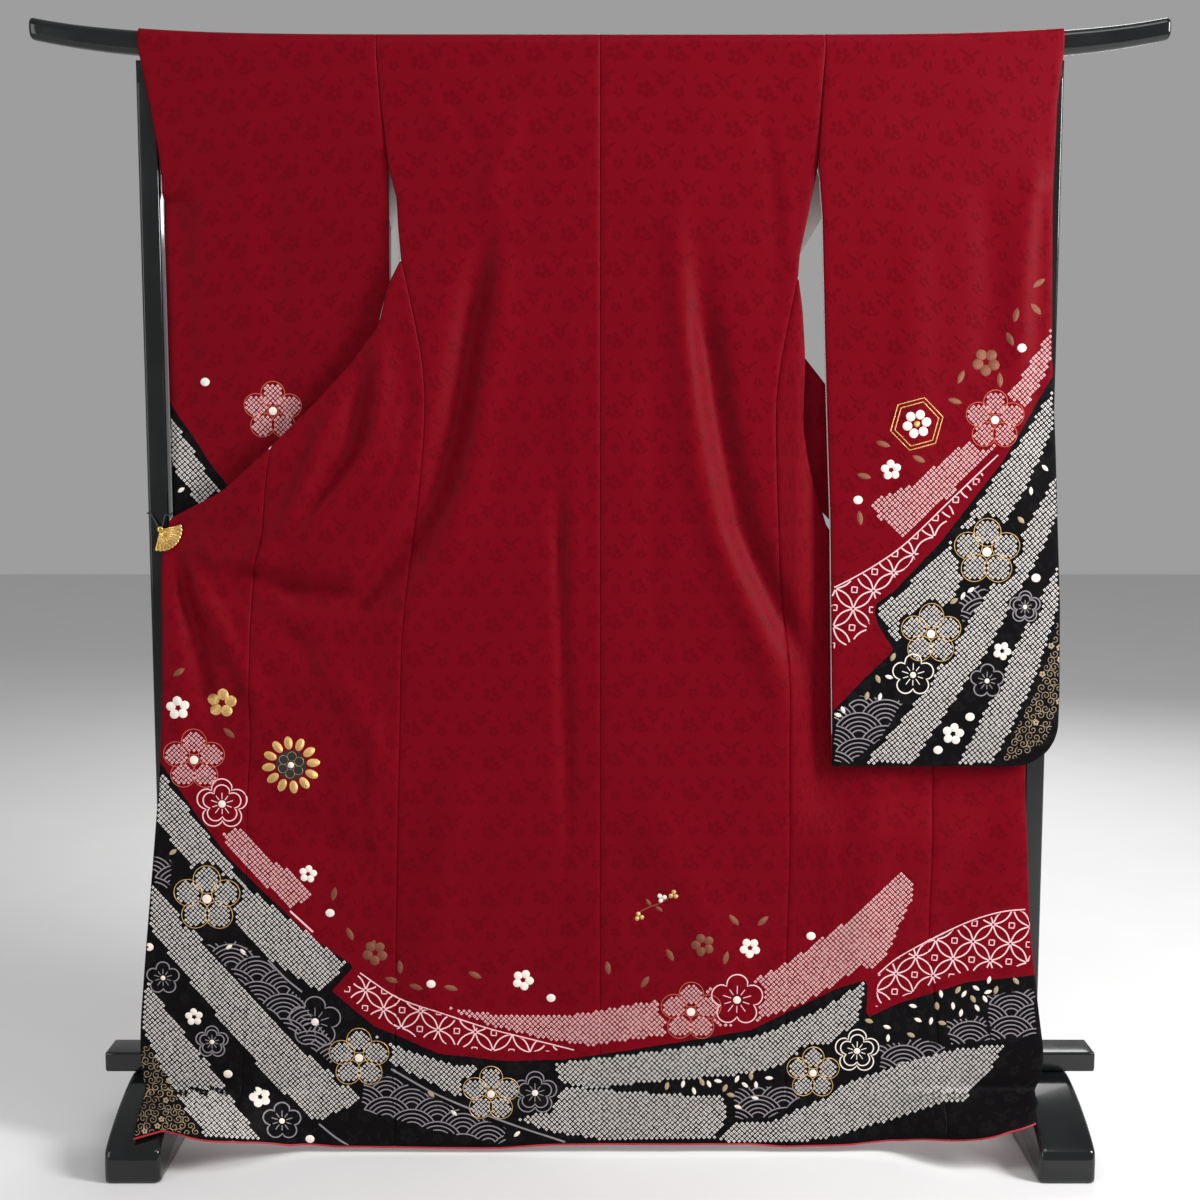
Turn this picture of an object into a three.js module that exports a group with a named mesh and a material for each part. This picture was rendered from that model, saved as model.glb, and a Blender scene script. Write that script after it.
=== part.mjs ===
// A long-sleeved kimono hung back outwards on a lacquered stand, in millimetres.
// +X is the wearer's right-hand side of the garment's back, +Z is up, the garment's back faces -Y.
// The stand is centred on the origin and its feet rest on Z = 0.
import * as THREE from 'three';

const CLOTH_T = 2.4;
const SEAM_GAP = 0.3;
const FIT_GAP = 0.4;
const BAR_GAP = 1;

const BAR = { halfLength: 834, depth: 30, bottom: 1632, height: 35, corner: 12, rise: 30, power: 5.8 };
const BAR_END = { stations: 24, crowd: 0.8, from: 0.8, shrink: 0.1 };
const POST = { x: 664, size: 30, corner: 4 };
const FOOT = { x: 684, width: 82, halfLength: 195, crest: 30, tip: 42, rise: 62, curve: 1.5, steps: 9 };
const CREST_Z = FOOT.tip + FOOT.rise;
const RAIL = { halfLength: 766, depth: 60, bottom: CREST_Z + FIT_GAP, height: 31, corner: 4 };

const HANG = { top: 1640, fall: 1625, start: 18.6, lean: 69.4, power: 1.15, liftFrom: 1480, hemPower: 6 };
const DRAPE = { from: 430, to: 640, clear: 20 };
const TIES = [
  { x: -655, z: 950, pull: 25, reach: 95 },
  { x: 634, z: 860, pull: 8, reach: 80 },
];
const RECESS = { from: 288, to: 335, depth: 14, start: 1330, full: 1230, top: 560, bottom: 470 };

// Each fold is a line of (x, z) points; a positive depth is a trough, a negative one a ridge.
const FOLD_FADE = 0.22;
const FOLDS = [
  { depth: 17, width: 21, path: [[-125, 1479], [-171, 1350], [-195, 1241], [-219, 1099], [-248, 1006],
    [-290, 924], [-362, 845], [-447, 847], [-522, 872], [-600, 915]] },
  { depth: -6, width: 26, path: [[-100, 1600], [-150, 1459], [-150, 1250], [-184, 1074], [-195, 1001],
    [-234, 899], [-300, 815], [-400, 790]] },
  { depth: -8, width: 16, path: [[-362, 1200], [-423, 1057], [-461, 954], [-514, 894], [-573, 902],
    [-630, 935]] },
  { depth: -9, width: 17, path: [[-322, 1262], [-325, 1168], [-333, 1077], [-378, 1020], [-446, 946],
    [-503, 899]] },
  { depth: 9, width: 15, path: [[-340, 1222], [-378, 1057], [-455, 945], [-500, 905]] },
  { depth: 11, width: 14, path: [[-640, 930], [-625, 850], [-611, 802], [-595, 722], [-575, 620]] },
  { depth: -8, width: 16, path: [[-633, 930], [-595, 841], [-558, 787], [-526, 726], [-500, 640]] },
  { depth: 7, width: 20, path: [[-575, 872], [-535, 842], [-497, 815], [-450, 773], [-400, 700]] },
  { depth: -6, width: 24, path: [[-459, 767], [-387, 716], [-337, 623], [-320, 520]] },
  { depth: 5, width: 30, path: [[-560, 640], [-500, 540], [-421, 480], [-312, 430]] },
  { depth: 16, width: 20, path: [[134, 1450], [149, 1276], [161, 1212], [176, 1118], [191, 1043], [211, 949],
    [241, 881], [273, 815], [299, 758], [315, 640]] },
  { depth: -7, width: 22, path: [[108, 1500], [112, 1380], [130, 1200], [145, 1040], [169, 950], [196, 880],
    [234, 800], [273, 700], [270, 560]] },
  { depth: 5, width: 12, path: [[-64, 1040], [-62, 924], [-57, 782], [-52, 617], [-48, 466]] },
  { depth: -6, width: 40, path: [[60, 560], [110, 440], [170, 330], [200, 200]] },
  { depth: 6, width: 38, path: [[610, 560], [560, 450], [529, 380], [500, 260]] },
  { depth: -6, width: 36, path: [[-200, 640], [-230, 480], [-260, 300], [-240, 60]] },
  { depth: 5, width: 45, path: [[-60, 420], [-90, 280], [-80, 40]] },
  { depth: -5, width: 30, path: [[400, 820], [420, 600], [400, 380], [380, 60]] },
];

// Seam and edge lines of the spread body, as (x, z) points from the top down.
const EDGES = {
  centre: [[0, 1640], [0, 1481], [0, 1345], [0, 15]],
  armholeLeft: [[-327, 1640], [-322, 1575], [-311, 1481]],
  armholeRight: [[329, 1640], [325, 1575], [320, 1481]],
  openLeft: [[-311, 1481], [-299, 1434], [-297, 1393], [-293, 1345]],
  openRight: [[320, 1481], [307, 1414], [294, 1352], [292, 1320]],
  sideLeft: [[-293, 1345], [-276, 1267], [-261, 1190], [-259, 1120], [-267, 1020], [-281, 923], [-297, 782],
    [-301, 617], [-306, 450], [-311, 174], [-313, 10]],
  sideRight: [[292, 1320], [280, 1262], [266, 1190], [260, 1130], [263, 1020], [268, 887], [284, 740],
    [285, 541], [286, 455], [282, 323], [281, 11]],
  okumiLeft: [[-489, 1069], [-500, 1000], [-504, 932], [-520, 880], [-524, 796], [-525, 617], [-531, 560],
    [-536, 245], [-543, 122], [-544, 48]],
  okumiRight: [[520, 866], [512, 760], [504, 640], [502, 541], [499, 420], [497, 331], [514, 159],
    [521, 109], [520, 42]],
  freeLeft: [[-644, 962], [-657, 912], [-658, 850], [-655, 793], [-655, 700], [-661, 580], [-675, 429],
    [-688, 297], [-697, 190], [-697, 128], [-690, 100], [-684, 64]],
  freeRight: [[634, 862], [640, 740], [642, 600], [643, 500], [646, 411], [652, 323], [664, 221], [674, 150],
    [670, 112], [645, 76]],
  foldLeft: [[-293, 1345], [-314, 1304], [-326, 1250], [-369, 1192], [-422, 1135], [-489, 1069]],
  foldOkumiLeft: [[-489, 1069], [-564, 1003], [-644, 962]],
  foldRight: [[292, 1320], [299, 1273], [304, 1200], [301, 1100], [310, 1045], [342, 940], [420, 890],
    [520, 866]],
  foldOkumiRight: [[520, 866], [580, 861], [634, 862]],
  hemBackLeft: [[-313, 10], [-220, 9], [-149, 9], [-87, 14], [0, 15]],
  hemBackRight: [[0, 15], [228, 15], [281, 11]],
  hemFrontLeft: [[-544, 48], [-515, 37], [-470, 18], [-400, 11], [-313, 10]],
  hemFrontRight: [[281, 11], [380, 14], [460, 24], [520, 42]],
  hemOkumiLeft: [[-684, 64], [-643, 71], [-617, 67], [-544, 48]],
  hemOkumiRight: [[520, 42], [603, 68], [645, 76]],
};

// Outline of each sleeve and, by height, where the bag hangs and how far its two layers stand apart.
const SLEEVE_BOTTOM = 593;
const SLEEVE_CORNER = 65;
const CUFF_Z = 1440;
const SLEEVE_CLOSE = { rise: 70, calm: 120, rear: 0.3 };
const SLEEVE_LEFT = {
  inner: [[-327, 1640], [-322, 1575], [-311, 1481], [-312, 1313], [-314, 593]],
  outer: [[-674, 1640], [-661, 1575], [-650, 1512], [-645, 1467], [-645, 593]],
  outerRear: [[-645, 1640], [-645, 593]],
  middle: [[1640, 0], [593, 0]],
  half: [[1640, 16.2], [1512, 16.2], [1300, 8.5], [1100, 7], [900, 6], [593, 5]],
};
const SLEEVE_RIGHT = {
  inner: [[329, 1640], [325, 1575], [320, 1481], [326, 1405], [332, 1212], [342, 956], [348, 593]],
  outer: [[677, 1640], [668, 1560], [664, 1431], [667, 1211], [675, 1072], [686, 831], [687, 702],
    [685, 593]],
  outerRear: [[645, 1640], [645, 1455], [664, 1440], [667, 1211], [675, 1072], [686, 831], [687, 702],
    [685, 593]],
  middle: [[1640, 0], [1560, -8.5], [1500, -17], [1455, -23], [1430, -25.5], [1300, -30], [1180, -34],
    [1000, -41], [860, -47], [593, -61]],
  half: [[1640, 16.2], [1560, 12], [1500, 7.6], [1455, 4.6], [1430, 4.6], [1300, 5.5], [593, 5]],
};
const SLEEVE_FOLDS = [
  { depth: -5, width: 13, path: [[-648, 1480], [-634, 1300], [-632, 1100], [-634, 800]] },
  { depth: 2.6, width: 22, path: [[-500, 1560], [-480, 1300], [-470, 1000]] },
  { depth: 4, width: 16, path: [[668, 1530], [655, 1400], [650, 1200], [655, 1000]] },
  { depth: -4, width: 18, path: [[640, 1500], [625, 1350], [620, 1150]] },
  { depth: 4, width: 24, path: [[560, 1500], [572, 1350], [575, 1280], [560, 1150]] },
  { depth: -3, width: 30, path: [[450, 1450], [460, 1200], [470, 900]] },
];

// Heights of the rear layer: viewer-side face of what hangs behind the bar.
const REAR_FACE = [[1640, 16.2], [1600, 13.5], [1500, 5], [1400, -6], [1345, -12.5], [1250, -16.6],
  [593, -16.6]];
// Columns: x and z on the armhole or fold side, x and z on the collar side, width of the collar there.
const UPPER_LEFT = [
  [-327, 1640, -90, 1640, 55], [-324.3, 1608, -113, 1610, 55], [-322, 1575, -138, 1578, 55],
  [-318.3, 1543, -163, 1545, 55], [-314.7, 1512, -187, 1512, 55], [-311, 1481, -210, 1480, 55],
  [-312, 1440, -234, 1442, 55], [-312, 1402, -254, 1402, 52], [-303, 1368, -266, 1356, 46],
  [-297, 1336, -270, 1314, 42], [-319, 1290, -288, 1258, 44], [-331, 1240, -309, 1206, 46],
  [-373, 1183, -343, 1151, 50], [-426, 1124, -398, 1095, 55], [-493, 1057, -466, 1026, 55],
  [-560, 1000, -540, 966, 50], [-606, 972, -595, 940, 40],
];
const UPPER_RIGHT = [
  [329, 1640, 90, 1640, 55], [327, 1608, 106, 1608, 55], [325, 1575, 122, 1575, 55],
  [323.3, 1543, 138, 1543, 55], [321.7, 1512, 154, 1512, 55], [320, 1481, 169, 1481, 55],
  [329, 1440, 190, 1440, 55], [329, 1408, 206, 1408, 55], [312, 1380, 222, 1378, 56],
  [296, 1353, 238, 1346, 58], [290, 1318, 252, 1310, 62], [298, 1273, 266, 1266, 68],
  [304, 1222, 286, 1222, 76],
];
// Columns: x and z of the collar's upper edge and its width, behind the neck and past the right upper front.
const COLLAR_NECK = [[0, 1652, 55], [40, 1652, 55], [78, 1645, 55]];
const COLLAR_TAIL = [[302, 1204, 90], [334, 1164, 105], [398, 1062, 110], [478, 966, 100], [560, 902, 60],
  [614, 876, 34]];
const COLLAR_LEFT = [
  ...COLLAR_NECK.map(([x, z, width]) => [-x, z, width]),
  ...UPPER_LEFT.map((row) => row.slice(2)),
];
const COLLAR_RIGHT = [...COLLAR_NECK, ...UPPER_RIGHT.map((row) => row.slice(2)), ...COLLAR_TAIL];
const OVER_COLLAR = { rows: 8, thick: 1.2, from: 0.06, to: 0.94 };

const FAN = { radius: 33, hub: 4, middle: 18, turn: 2.38, spread: 2.1, ribs: 11, thick: 2.2, pleat: 1.1 };
const CLIPS = [
  { side: 'left', x: -658, z: 946, sign: -1 },
  { side: 'right', x: 647, z: 850, sign: 1 },
];
const CORD_R = 1.1;
const CORD_LOOP = { points: 18, power: 0.26, above: 22, pitch: 4, parting: 0.5 };
const ROLL = { gap: 0.8, drop: 3.4, thick: 2.2 };

// Cells across each kind of piece.
const COLS = { back: 10, front: 8, okumi: 5, sleeve: 6, upper: 4, collar: 3, overCollar: 2 };

const COLOURS = { silk: 0xa0102a, lacquer: 0x0b0c0d, gilt: 0xc9a24a, cord: 0x15161a, lining: 0xb01225 };
const FINISH = {
  silk: { roughness: 0.6, metalness: 0 },
  lining: { roughness: 0.6, metalness: 0 },
  lacquer: { roughness: 0.15, metalness: 0 },
  gilt: { roughness: 0.3, metalness: 1 },
  cord: { roughness: 0.7, metalness: 0 },
};

function smooth(from, to, value) {
  const t = Math.min(1, Math.max(0, (value - from) / (to - from)));
  return t * t * (3 - 2 * t);
}

// Point at share t along a polyline, measured by length.
function along(points, t) {
  const lengths = [0];
  for (let i = 1; i < points.length; i += 1) {
    const [dx, dz] = [0, 1].map((k) => points[i][k] - points[i - 1][k]);
    lengths.push(lengths[i - 1] + Math.hypot(dx, dz));
  }
  const goal = t * lengths[lengths.length - 1];
  let i = 1;
  while (i < points.length - 1 && lengths[i] < goal) {
    i += 1;
  }
  const share = (goal - lengths[i - 1]) / (lengths[i] - lengths[i - 1]);
  return [0, 1].map((k) => points[i - 1][k] + share * (points[i][k] - points[i - 1][k]));
}

// Linear reading of a table of (key, value) rows whose keys fall.
function read(table, key) {
  if (key >= table[0][0]) {
    return table[0][1];
  }
  for (let i = 1; i < table.length; i += 1) {
    if (key >= table[i][0]) {
      const share = (table[i - 1][0] - key) / (table[i - 1][0] - table[i][0]);
      return table[i - 1][1] + share * (table[i][1] - table[i - 1][1]);
    }
  }
  return table[table.length - 1][1];
}

function xAtHeight(points, z) {
  return read(points.map((p) => [p[1], p[0]]), z);
}

function foldShift(folds, x, z) {
  let shift = 0;
  for (const fold of folds) {
    let best = Infinity;
    let place = 0;
    const last = fold.path.length - 1;
    for (let i = 0; i < last; i += 1) {
      const [ax, az] = fold.path[i];
      const [bx, bz] = fold.path[i + 1];
      const dx = bx - ax;
      const dz = bz - az;
      const share = Math.min(1, Math.max(0, ((x - ax) * dx + (z - az) * dz) / (dx * dx + dz * dz)));
      const off = Math.hypot(x - ax - share * dx, z - az - share * dz);
      if (off < best) {
        best = off;
        place = (i + share) / last;
      }
    }
    const fade = smooth(0, FOLD_FADE, place) * smooth(1, 1 - FOLD_FADE, place);
    shift += fold.depth * fade * Math.exp(-((best / fold.width) ** 2));
  }
  return shift;
}

// Where cloth lies over the feet: clear of their front slope at each height.
function footFront(z) {
  const up = Math.min(1, Math.max(0, (z - FOOT.tip) / FOOT.rise));
  const out = (1 - up ** (2 / FOOT.curve)) ** (FOOT.curve / 2);
  return -(FOOT.crest + DRAPE.clear + (FOOT.halfLength - FOOT.crest) * out);
}

// Outer face of the spread body: it leans out towards the hem, lies over the feet and carries the folds.
function bodyY(x, z) {
  const s = Math.min(1, Math.max(0, (HANG.top - z) / HANG.fall));
  const lean = -(HANG.start + HANG.lean * s ** HANG.power);
  let y = lean + smooth(DRAPE.from, DRAPE.to, Math.abs(x)) * Math.min(0, footFront(z) - lean);
  for (const tie of TIES) {
    y += tie.pull * Math.exp(-((x - tie.x) ** 2 + (z - tie.z) ** 2) / (2 * tie.reach ** 2));
  }
  const held = smooth(RECESS.bottom, RECESS.top, z) * smooth(RECESS.start, RECESS.full, z);
  y += RECESS.depth * smooth(RECESS.from, RECESS.to, x) * held;
  return y + foldShift(FOLDS, x, z);
}

function barRise(x) {
  return BAR.rise * (Math.abs(x) / BAR.halfLength) ** BAR.power;
}

// Height of a point of the cloth: near the bar it follows the bar's upward curve.
function lifted(x, z) {
  return z + barRise(x) * smooth(HANG.liftFrom, HANG.top, z);
}

// Rows of [y, z, ny, nz] that carry a cloth from the ridge of the bar to its face; side -1 is the back.
function overBar(side) {
  const rows = [];
  const radius = BAR.corner + BAR_GAP;
  const cy = BAR.depth / 2 - BAR.corner;
  const cz = BAR.bottom + BAR.height - BAR.corner;
  rows.push([side * SEAM_GAP / 2, cz + radius, 0, 1]);
  for (const angle of [90, 60, 30, 0]) {
    const a = angle * Math.PI / 180;
    const [ny, nz] = [side * Math.cos(a), Math.sin(a)];
    rows.push([side * cy + radius * ny, cz + radius * nz, ny, nz]);
  }
  return rows;
}

// A closed wall from matching grids of points on its two faces; the outer face looks along -Y.
function wall(name, outer, inner, slot) {
  const rows = outer.length;
  const cols = outer[0].length;
  const positions = [];
  const index = [];
  for (const grid of [outer, inner]) {
    for (const row of grid) {
      for (const p of row) {
        positions.push(...p);
      }
    }
  }
  const at = (layer, i, j) => layer * rows * cols + i * cols + j;
  const quad = (a, b, c, d) => index.push(a, b, c, a, c, d);
  for (let i = 0; i < rows - 1; i += 1) {
    for (let j = 0; j < cols - 1; j += 1) {
      quad(at(0, i, j), at(0, i + 1, j), at(0, i + 1, j + 1), at(0, i, j + 1));
      quad(at(1, i, j), at(1, i, j + 1), at(1, i + 1, j + 1), at(1, i + 1, j));
    }
  }
  for (let i = 0; i < rows - 1; i += 1) {
    quad(at(0, i + 1, 0), at(0, i, 0), at(1, i, 0), at(1, i + 1, 0));
    quad(at(0, i, cols - 1), at(0, i + 1, cols - 1), at(1, i + 1, cols - 1), at(1, i, cols - 1));
  }
  for (let j = 0; j < cols - 1; j += 1) {
    quad(at(0, 0, j), at(0, 0, j + 1), at(1, 0, j + 1), at(1, 0, j));
    quad(at(0, rows - 1, j + 1), at(0, rows - 1, j), at(1, rows - 1, j), at(1, rows - 1, j + 1));
  }
  const geometry = new THREE.BufferGeometry();
  geometry.setAttribute('position', new THREE.Float32BufferAttribute(positions, 3));
  geometry.setIndex(index);
  return solid(name, facingOut(geometry), slot);
}

function signedVolume(geometry) {
  const p = geometry.attributes.position;
  const order = geometry.index;
  const a = new THREE.Vector3();
  const b = new THREE.Vector3();
  const c = new THREE.Vector3();
  let volume = 0;
  for (let i = 0; i < order.count; i += 3) {
    a.fromBufferAttribute(p, order.getX(i));
    b.fromBufferAttribute(p, order.getX(i + 1));
    c.fromBufferAttribute(p, order.getX(i + 2));
    volume += a.dot(b.cross(c)) / 6;
  }
  return volume;
}

function facingOut(geometry) {
  if (signedVolume(geometry) < 0) {
    geometry.index.array.reverse();
  }
  return geometry;
}

function solid(name, geometry, slot) {
  geometry.computeVertexNormals();
  const { roughness, metalness } = FINISH[slot];
  const material = new THREE.MeshStandardMaterial({ color: COLOURS[slot], roughness, metalness });
  const mesh = new THREE.Mesh(geometry, material);
  mesh.name = name;
  return mesh;
}

// Interior of four edge lines, read at the same shares: left and right run down, top and bottom across.
function between(left, right, top, bottom, cols) {
  const grid = [];
  for (const v of SIDE_SHARES) {
    const row = [];
    for (let j = 0; j <= cols; j += 1) {
      const u = j / cols;
      const [l, r, t, b] = [along(left, v), along(right, v), along(top, u), along(bottom, u)];
      const corners = [top[0], top[top.length - 1], bottom[0], bottom[bottom.length - 1]];
      row.push([0, 1].map((k) => (1 - u) * l[k] + u * r[k] + (1 - v) * t[k] + v * b[k]
        - (1 - u) * (1 - v) * corners[0][k] - u * (1 - v) * corners[1][k]
        - (1 - u) * v * corners[2][k] - u * v * corners[3][k]));
    }
    grid.push(row);
  }
  return grid;
}

function inset(grid) {
  for (const row of grid) {
    row[0][0] += SEAM_GAP / 2;
    row[row.length - 1][0] -= SEAM_GAP / 2;
  }
  return grid;
}

function hung(name, grid, slot) {
  const outer = grid.map((row) => row.map(([x, z]) => [x, bodyY(x, z), z]));
  const inner = outer.map((row) => row.map(([x, y, z]) => [x, y + CLOTH_T, z]));
  return wall(name, outer, inner, slot);
}

const TOP_LEVELS = [1640, 1608, 1575, 1543, 1512, 1481];
const OPEN_ROWS = 3;
// Shares down each seam: wide rows first, then close ones where the hem goes over the feet.
const SIDE_SHARES = [...Array.from({ length: 19 }, (_, i) => 0.9 * i / 18), 0.92, 0.94, 0.96, 0.98, 1];

function levels(line) {
  return TOP_LEVELS.map((z) => [xAtHeight(line, z), z]);
}

function shares(line, rows) {
  return Array.from({ length: rows }, (_, i) => along(line, (i + 1) / rows));
}

function seamRows(line) {
  return SIDE_SHARES.slice(1).map((share) => along(line, share));
}

// Points (x, z) of a back panel from the bar down to the hem; sign tells which side of the centre seam.
function backGrid(armhole, open, side, hem, sign) {
  const cols = COLS.back;
  const sideRows = [...levels(armhole), ...shares(open, OPEN_ROWS), ...seamRows(side)];
  const centreEnd = EDGES.centre[EDGES.centre.length - 1][1];
  const lastZ = sideRows[sideRows.length - 1][1];
  const grid = sideRows.map(([edgeX, edgeZ]) => {
    const v = (HANG.top - edgeZ) / (HANG.top - lastZ);
    const centreZ = HANG.top - v * (HANG.top - centreEnd);
    return Array.from({ length: cols + 1 }, (_, j) => {
      const u = j / cols;
      const hemZ = along(hem, sign < 0 ? u : 1 - u)[1];
      const flatZ = edgeZ + u * (centreZ - edgeZ);
      const flatHem = lastZ + u * (centreEnd - lastZ);
      return [edgeX * (1 - u), flatZ + v ** HANG.hemPower * (hemZ - flatHem)];
    });
  });
  if (sign > 0) {
    grid.forEach((row) => row.reverse());
  }
  return inset(grid);
}

// A back panel runs from the ridge of the bar down its face to the hem.
function backPanel(name, grid) {
  const outer = [];
  const inner = [];
  for (const [y, z, ny, nz] of overBar(-1)) {
    outer.push(grid[0].map(([x]) => [x, y + ny * CLOTH_T, z + nz * CLOTH_T + barRise(x)]));
    inner.push(grid[0].map(([x]) => [x, y, z + barRise(x)]));
  }
  for (const row of grid) {
    outer.push(row.map(([x, z]) => [x, bodyY(x, z), lifted(x, z)]));
    inner.push(row.map(([x, z]) => [x, bodyY(x, z) + CLOTH_T, lifted(x, z)]));
  }
  return wall(name, outer, inner, 'silk');
}

function sleeveOuterX(table, z, sign) {
  const rise = Math.max(0, SLEEVE_BOTTOM + SLEEVE_CORNER - z);
  const cut = SLEEVE_CORNER - Math.sqrt(Math.max(0, SLEEVE_CORNER ** 2 - rise ** 2));
  return xAtHeight(table, z) - sign * cut;
}

const SLEEVE_LEVELS = [...TOP_LEVELS, 1455, 1440, 1390, 1330, 1260, 1190, 1110, 1030, 950, 870, 790, 715,
  SLEEVE_BOTTOM + SLEEVE_CORNER, 630, 608, 597, SLEEVE_BOTTOM];

// One layer of a sleeve bag: side -1 is the face seen from the back, +1 the one behind it.
function sleeveLayer(name, sleeve, side, sign) {
  const cols = COLS.sleeve;
  const outerLine = side < 0 ? sleeve.outer : sleeve.outerRear;
  const outer = [];
  const inner = [];
  const rowX = (z) => {
    const a = xAtHeight(sleeve.inner, z) + sign * SEAM_GAP / 2;
    const b = sleeveOuterX(outerLine, z, sign);
    return Array.from({ length: cols + 1 }, (_, j) => a + (b - a) * (j / cols));
  };
  for (const [y, z, ny, nz] of overBar(side)) {
    const xs = rowX(HANG.top);
    outer.push(xs.map((x) => [x, y + ny * CLOTH_T, z + nz * CLOTH_T + barRise(x)]));
    inner.push(xs.map((x) => [x, y, z + barRise(x)]));
  }
  for (const z of SLEEVE_LEVELS) {
    const xs = rowX(z);
    const open = smooth(SLEEVE_BOTTOM, SLEEVE_BOTTOM + SLEEVE_CLOSE.rise, z);
    const calm = smooth(SLEEVE_BOTTOM, SLEEVE_BOTTOM + SLEEVE_CLOSE.calm, z);
    const row = xs.map((x, j) => {
      const sewn = z < CUFF_Z && j === cols;
      const half = SEAM_GAP / 2 + (sewn ? 0 : (read(sleeve.half, z) - SEAM_GAP / 2) * open);
      const fold = foldShift(SLEEVE_FOLDS, x, z) * calm;
      const shift = side < 0 ? Math.min(fold, half - SEAM_GAP / 2) : fold * SLEEVE_CLOSE.rear;
      return read(sleeve.middle, z) + side * half + shift;
    });
    inner.push(xs.map((x, j) => [x, row[j], lifted(x, z)]));
    outer.push(xs.map((x, j) => [x, row[j] + side * CLOTH_T, lifted(x, z)]));
  }
  return wall(name, outer, inner, 'silk');
}

// Upper part of a front, carried over the bar and hanging behind it to the collar.
function upperFront(name, table, sign) {
  const cols = COLS.upper;
  const outer = [];
  const inner = [];
  const rowAt = ([ax, az, bx, bz]) => Array.from({ length: cols + 1 }, (_, j) => {
    const u = j / cols;
    const a = ax - sign * SEAM_GAP / 2;
    return [a + u * (bx - a), az + u * (bz - az)];
  });
  for (const [y, z, ny, nz] of overBar(1)) {
    outer.push(rowAt(table[0]).map(([x]) => [x, y + ny * CLOTH_T, z + nz * CLOTH_T + barRise(x)]));
    inner.push(rowAt(table[0]).map(([x]) => [x, y, z + barRise(x)]));
  }
  for (const entry of table) {
    const row = rowAt(entry);
    outer.push(row.map(([x, z]) => [x, read(REAR_FACE, z) + CLOTH_T, lifted(x, z)]));
    inner.push(row.map(([x, z]) => [x, read(REAR_FACE, z), lifted(x, z)]));
  }
  return wall(name, outer, inner, 'silk');
}

// Points across the collar band at one row: its width is laid off square to its upper edge.
function collarRow(table, i, cols, from, to) {
  const before = table[Math.max(0, i - 1)];
  const after = table[Math.min(table.length - 1, i + 1)];
  const [x, z, width] = table[i];
  const length = Math.hypot(after[0] - before[0], after[1] - before[1]);
  let nx = (after[1] - before[1]) / length;
  let nz = -(after[0] - before[0]) / length;
  if (nz > 0) {
    nx = -nx;
    nz = -nz;
  }
  if (i === 0) {
    nx = 0;
    nz = -1;
  }
  const middle = i === 0 ? Math.sign(table[1][0]) * SEAM_GAP / 2 : 0;
  return Array.from({ length: cols + 1 }, (_, j) => {
    const reach = SEAM_GAP * 2 + width * (from + (to - from) * (j / cols));
    return [x + middle + nx * reach, z + nz * reach];
  });
}

function collarHalf(name, table) {
  const rows = table.map((_, i) => collarRow(table, i, COLS.collar, 0, 1));
  const outer = rows.map((row) => row.map(([x, z]) => [x, read(REAR_FACE, z) + CLOTH_T, z]));
  const inner = rows.map((row) => row.map(([x, z]) => [x, read(REAR_FACE, z), z]));
  return wall(name, outer, inner, 'silk');
}

// The over-collar is a skin on the rear face of the collar's upper part, made from the collar's own points.
function overCollar(name) {
  const places = Array.from({ length: OVER_COLLAR.rows }, (_, i) => i + 1);
  const [left, right] = [COLLAR_LEFT, COLLAR_RIGHT].map((table) => places.map((i) => (
    collarRow(table, i, COLS.overCollar, OVER_COLLAR.from, OVER_COLLAR.to))));
  const rows = [...left.toReversed(), ...right];
  const base = (z) => read(REAR_FACE, z) + CLOTH_T + SEAM_GAP;
  const outer = rows.map((row) => row.map(([x, z]) => [x, base(z) + OVER_COLLAR.thick, z]));
  const inner = rows.map((row) => row.map(([x, z]) => [x, base(z), z]));
  return wall(name, outer, inner, 'silk');
}

// The lining is rolled a little below the hem and shows there as a narrow edge under every panel.
function hemRoll(panels) {
  const line = panels.flatMap((grid, i) => grid[grid.length - 1].slice(i ? 1 : 0));
  const inner = [0, ROLL.drop].map((drop) => (
    line.map(([x, z]) => [x, bodyY(x, z) + CLOTH_T, z - ROLL.gap - drop])));
  const outer = inner.map((row) => row.map(([x, y, z]) => [x, y - ROLL.thick, z]));
  return wall('hem_roll', outer, inner, 'lining');
}

function roundedRect(width, height, corner) {
  const shape = new THREE.Shape();
  const w = width / 2 - corner;
  const h = height / 2 - corner;
  shape.absarc(w, h, corner, 0, Math.PI / 2);
  shape.absarc(-w, h, corner, Math.PI / 2, Math.PI);
  shape.absarc(-w, -h, corner, Math.PI, Math.PI * 1.5);
  shape.absarc(w, -h, corner, Math.PI * 1.5, Math.PI * 2);
  return shape;
}

function topBar() {
  const { stations } = BAR_END;
  const section = roundedRect(BAR.depth, BAR.height, BAR.corner).getPoints(3).slice(0, -1);
  const positions = [];
  const index = [];
  for (let i = 0; i <= stations; i += 1) {
    const share = 2 * i / stations - 1;
    const x = BAR.halfLength * Math.sign(share) * Math.abs(share) ** BAR_END.crowd;
    const shrink = 1 - BAR_END.shrink * smooth(BAR_END.from, 1, Math.abs(share));
    const z = BAR.bottom + BAR.height / 2 + barRise(x);
    section.forEach((p) => positions.push(x, p.x * shrink, z + p.y * shrink));
  }
  const n = section.length;
  for (let i = 0; i < stations; i += 1) {
    for (let j = 0; j < n; j += 1) {
      const k = (j + 1) % n;
      index.push(i * n + j, i * n + k, (i + 1) * n + k, i * n + j, (i + 1) * n + k, (i + 1) * n + j);
    }
  }
  for (let j = 1; j < n - 1; j += 1) {
    index.push(0, j + 1, j, stations * n, stations * n + j, stations * n + j + 1);
  }
  const geometry = new THREE.BufferGeometry();
  geometry.setAttribute('position', new THREE.Float32BufferAttribute(positions, 3));
  geometry.setIndex(index);
  return solid('top_bar', facingOut(geometry), 'lacquer');
}

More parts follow.
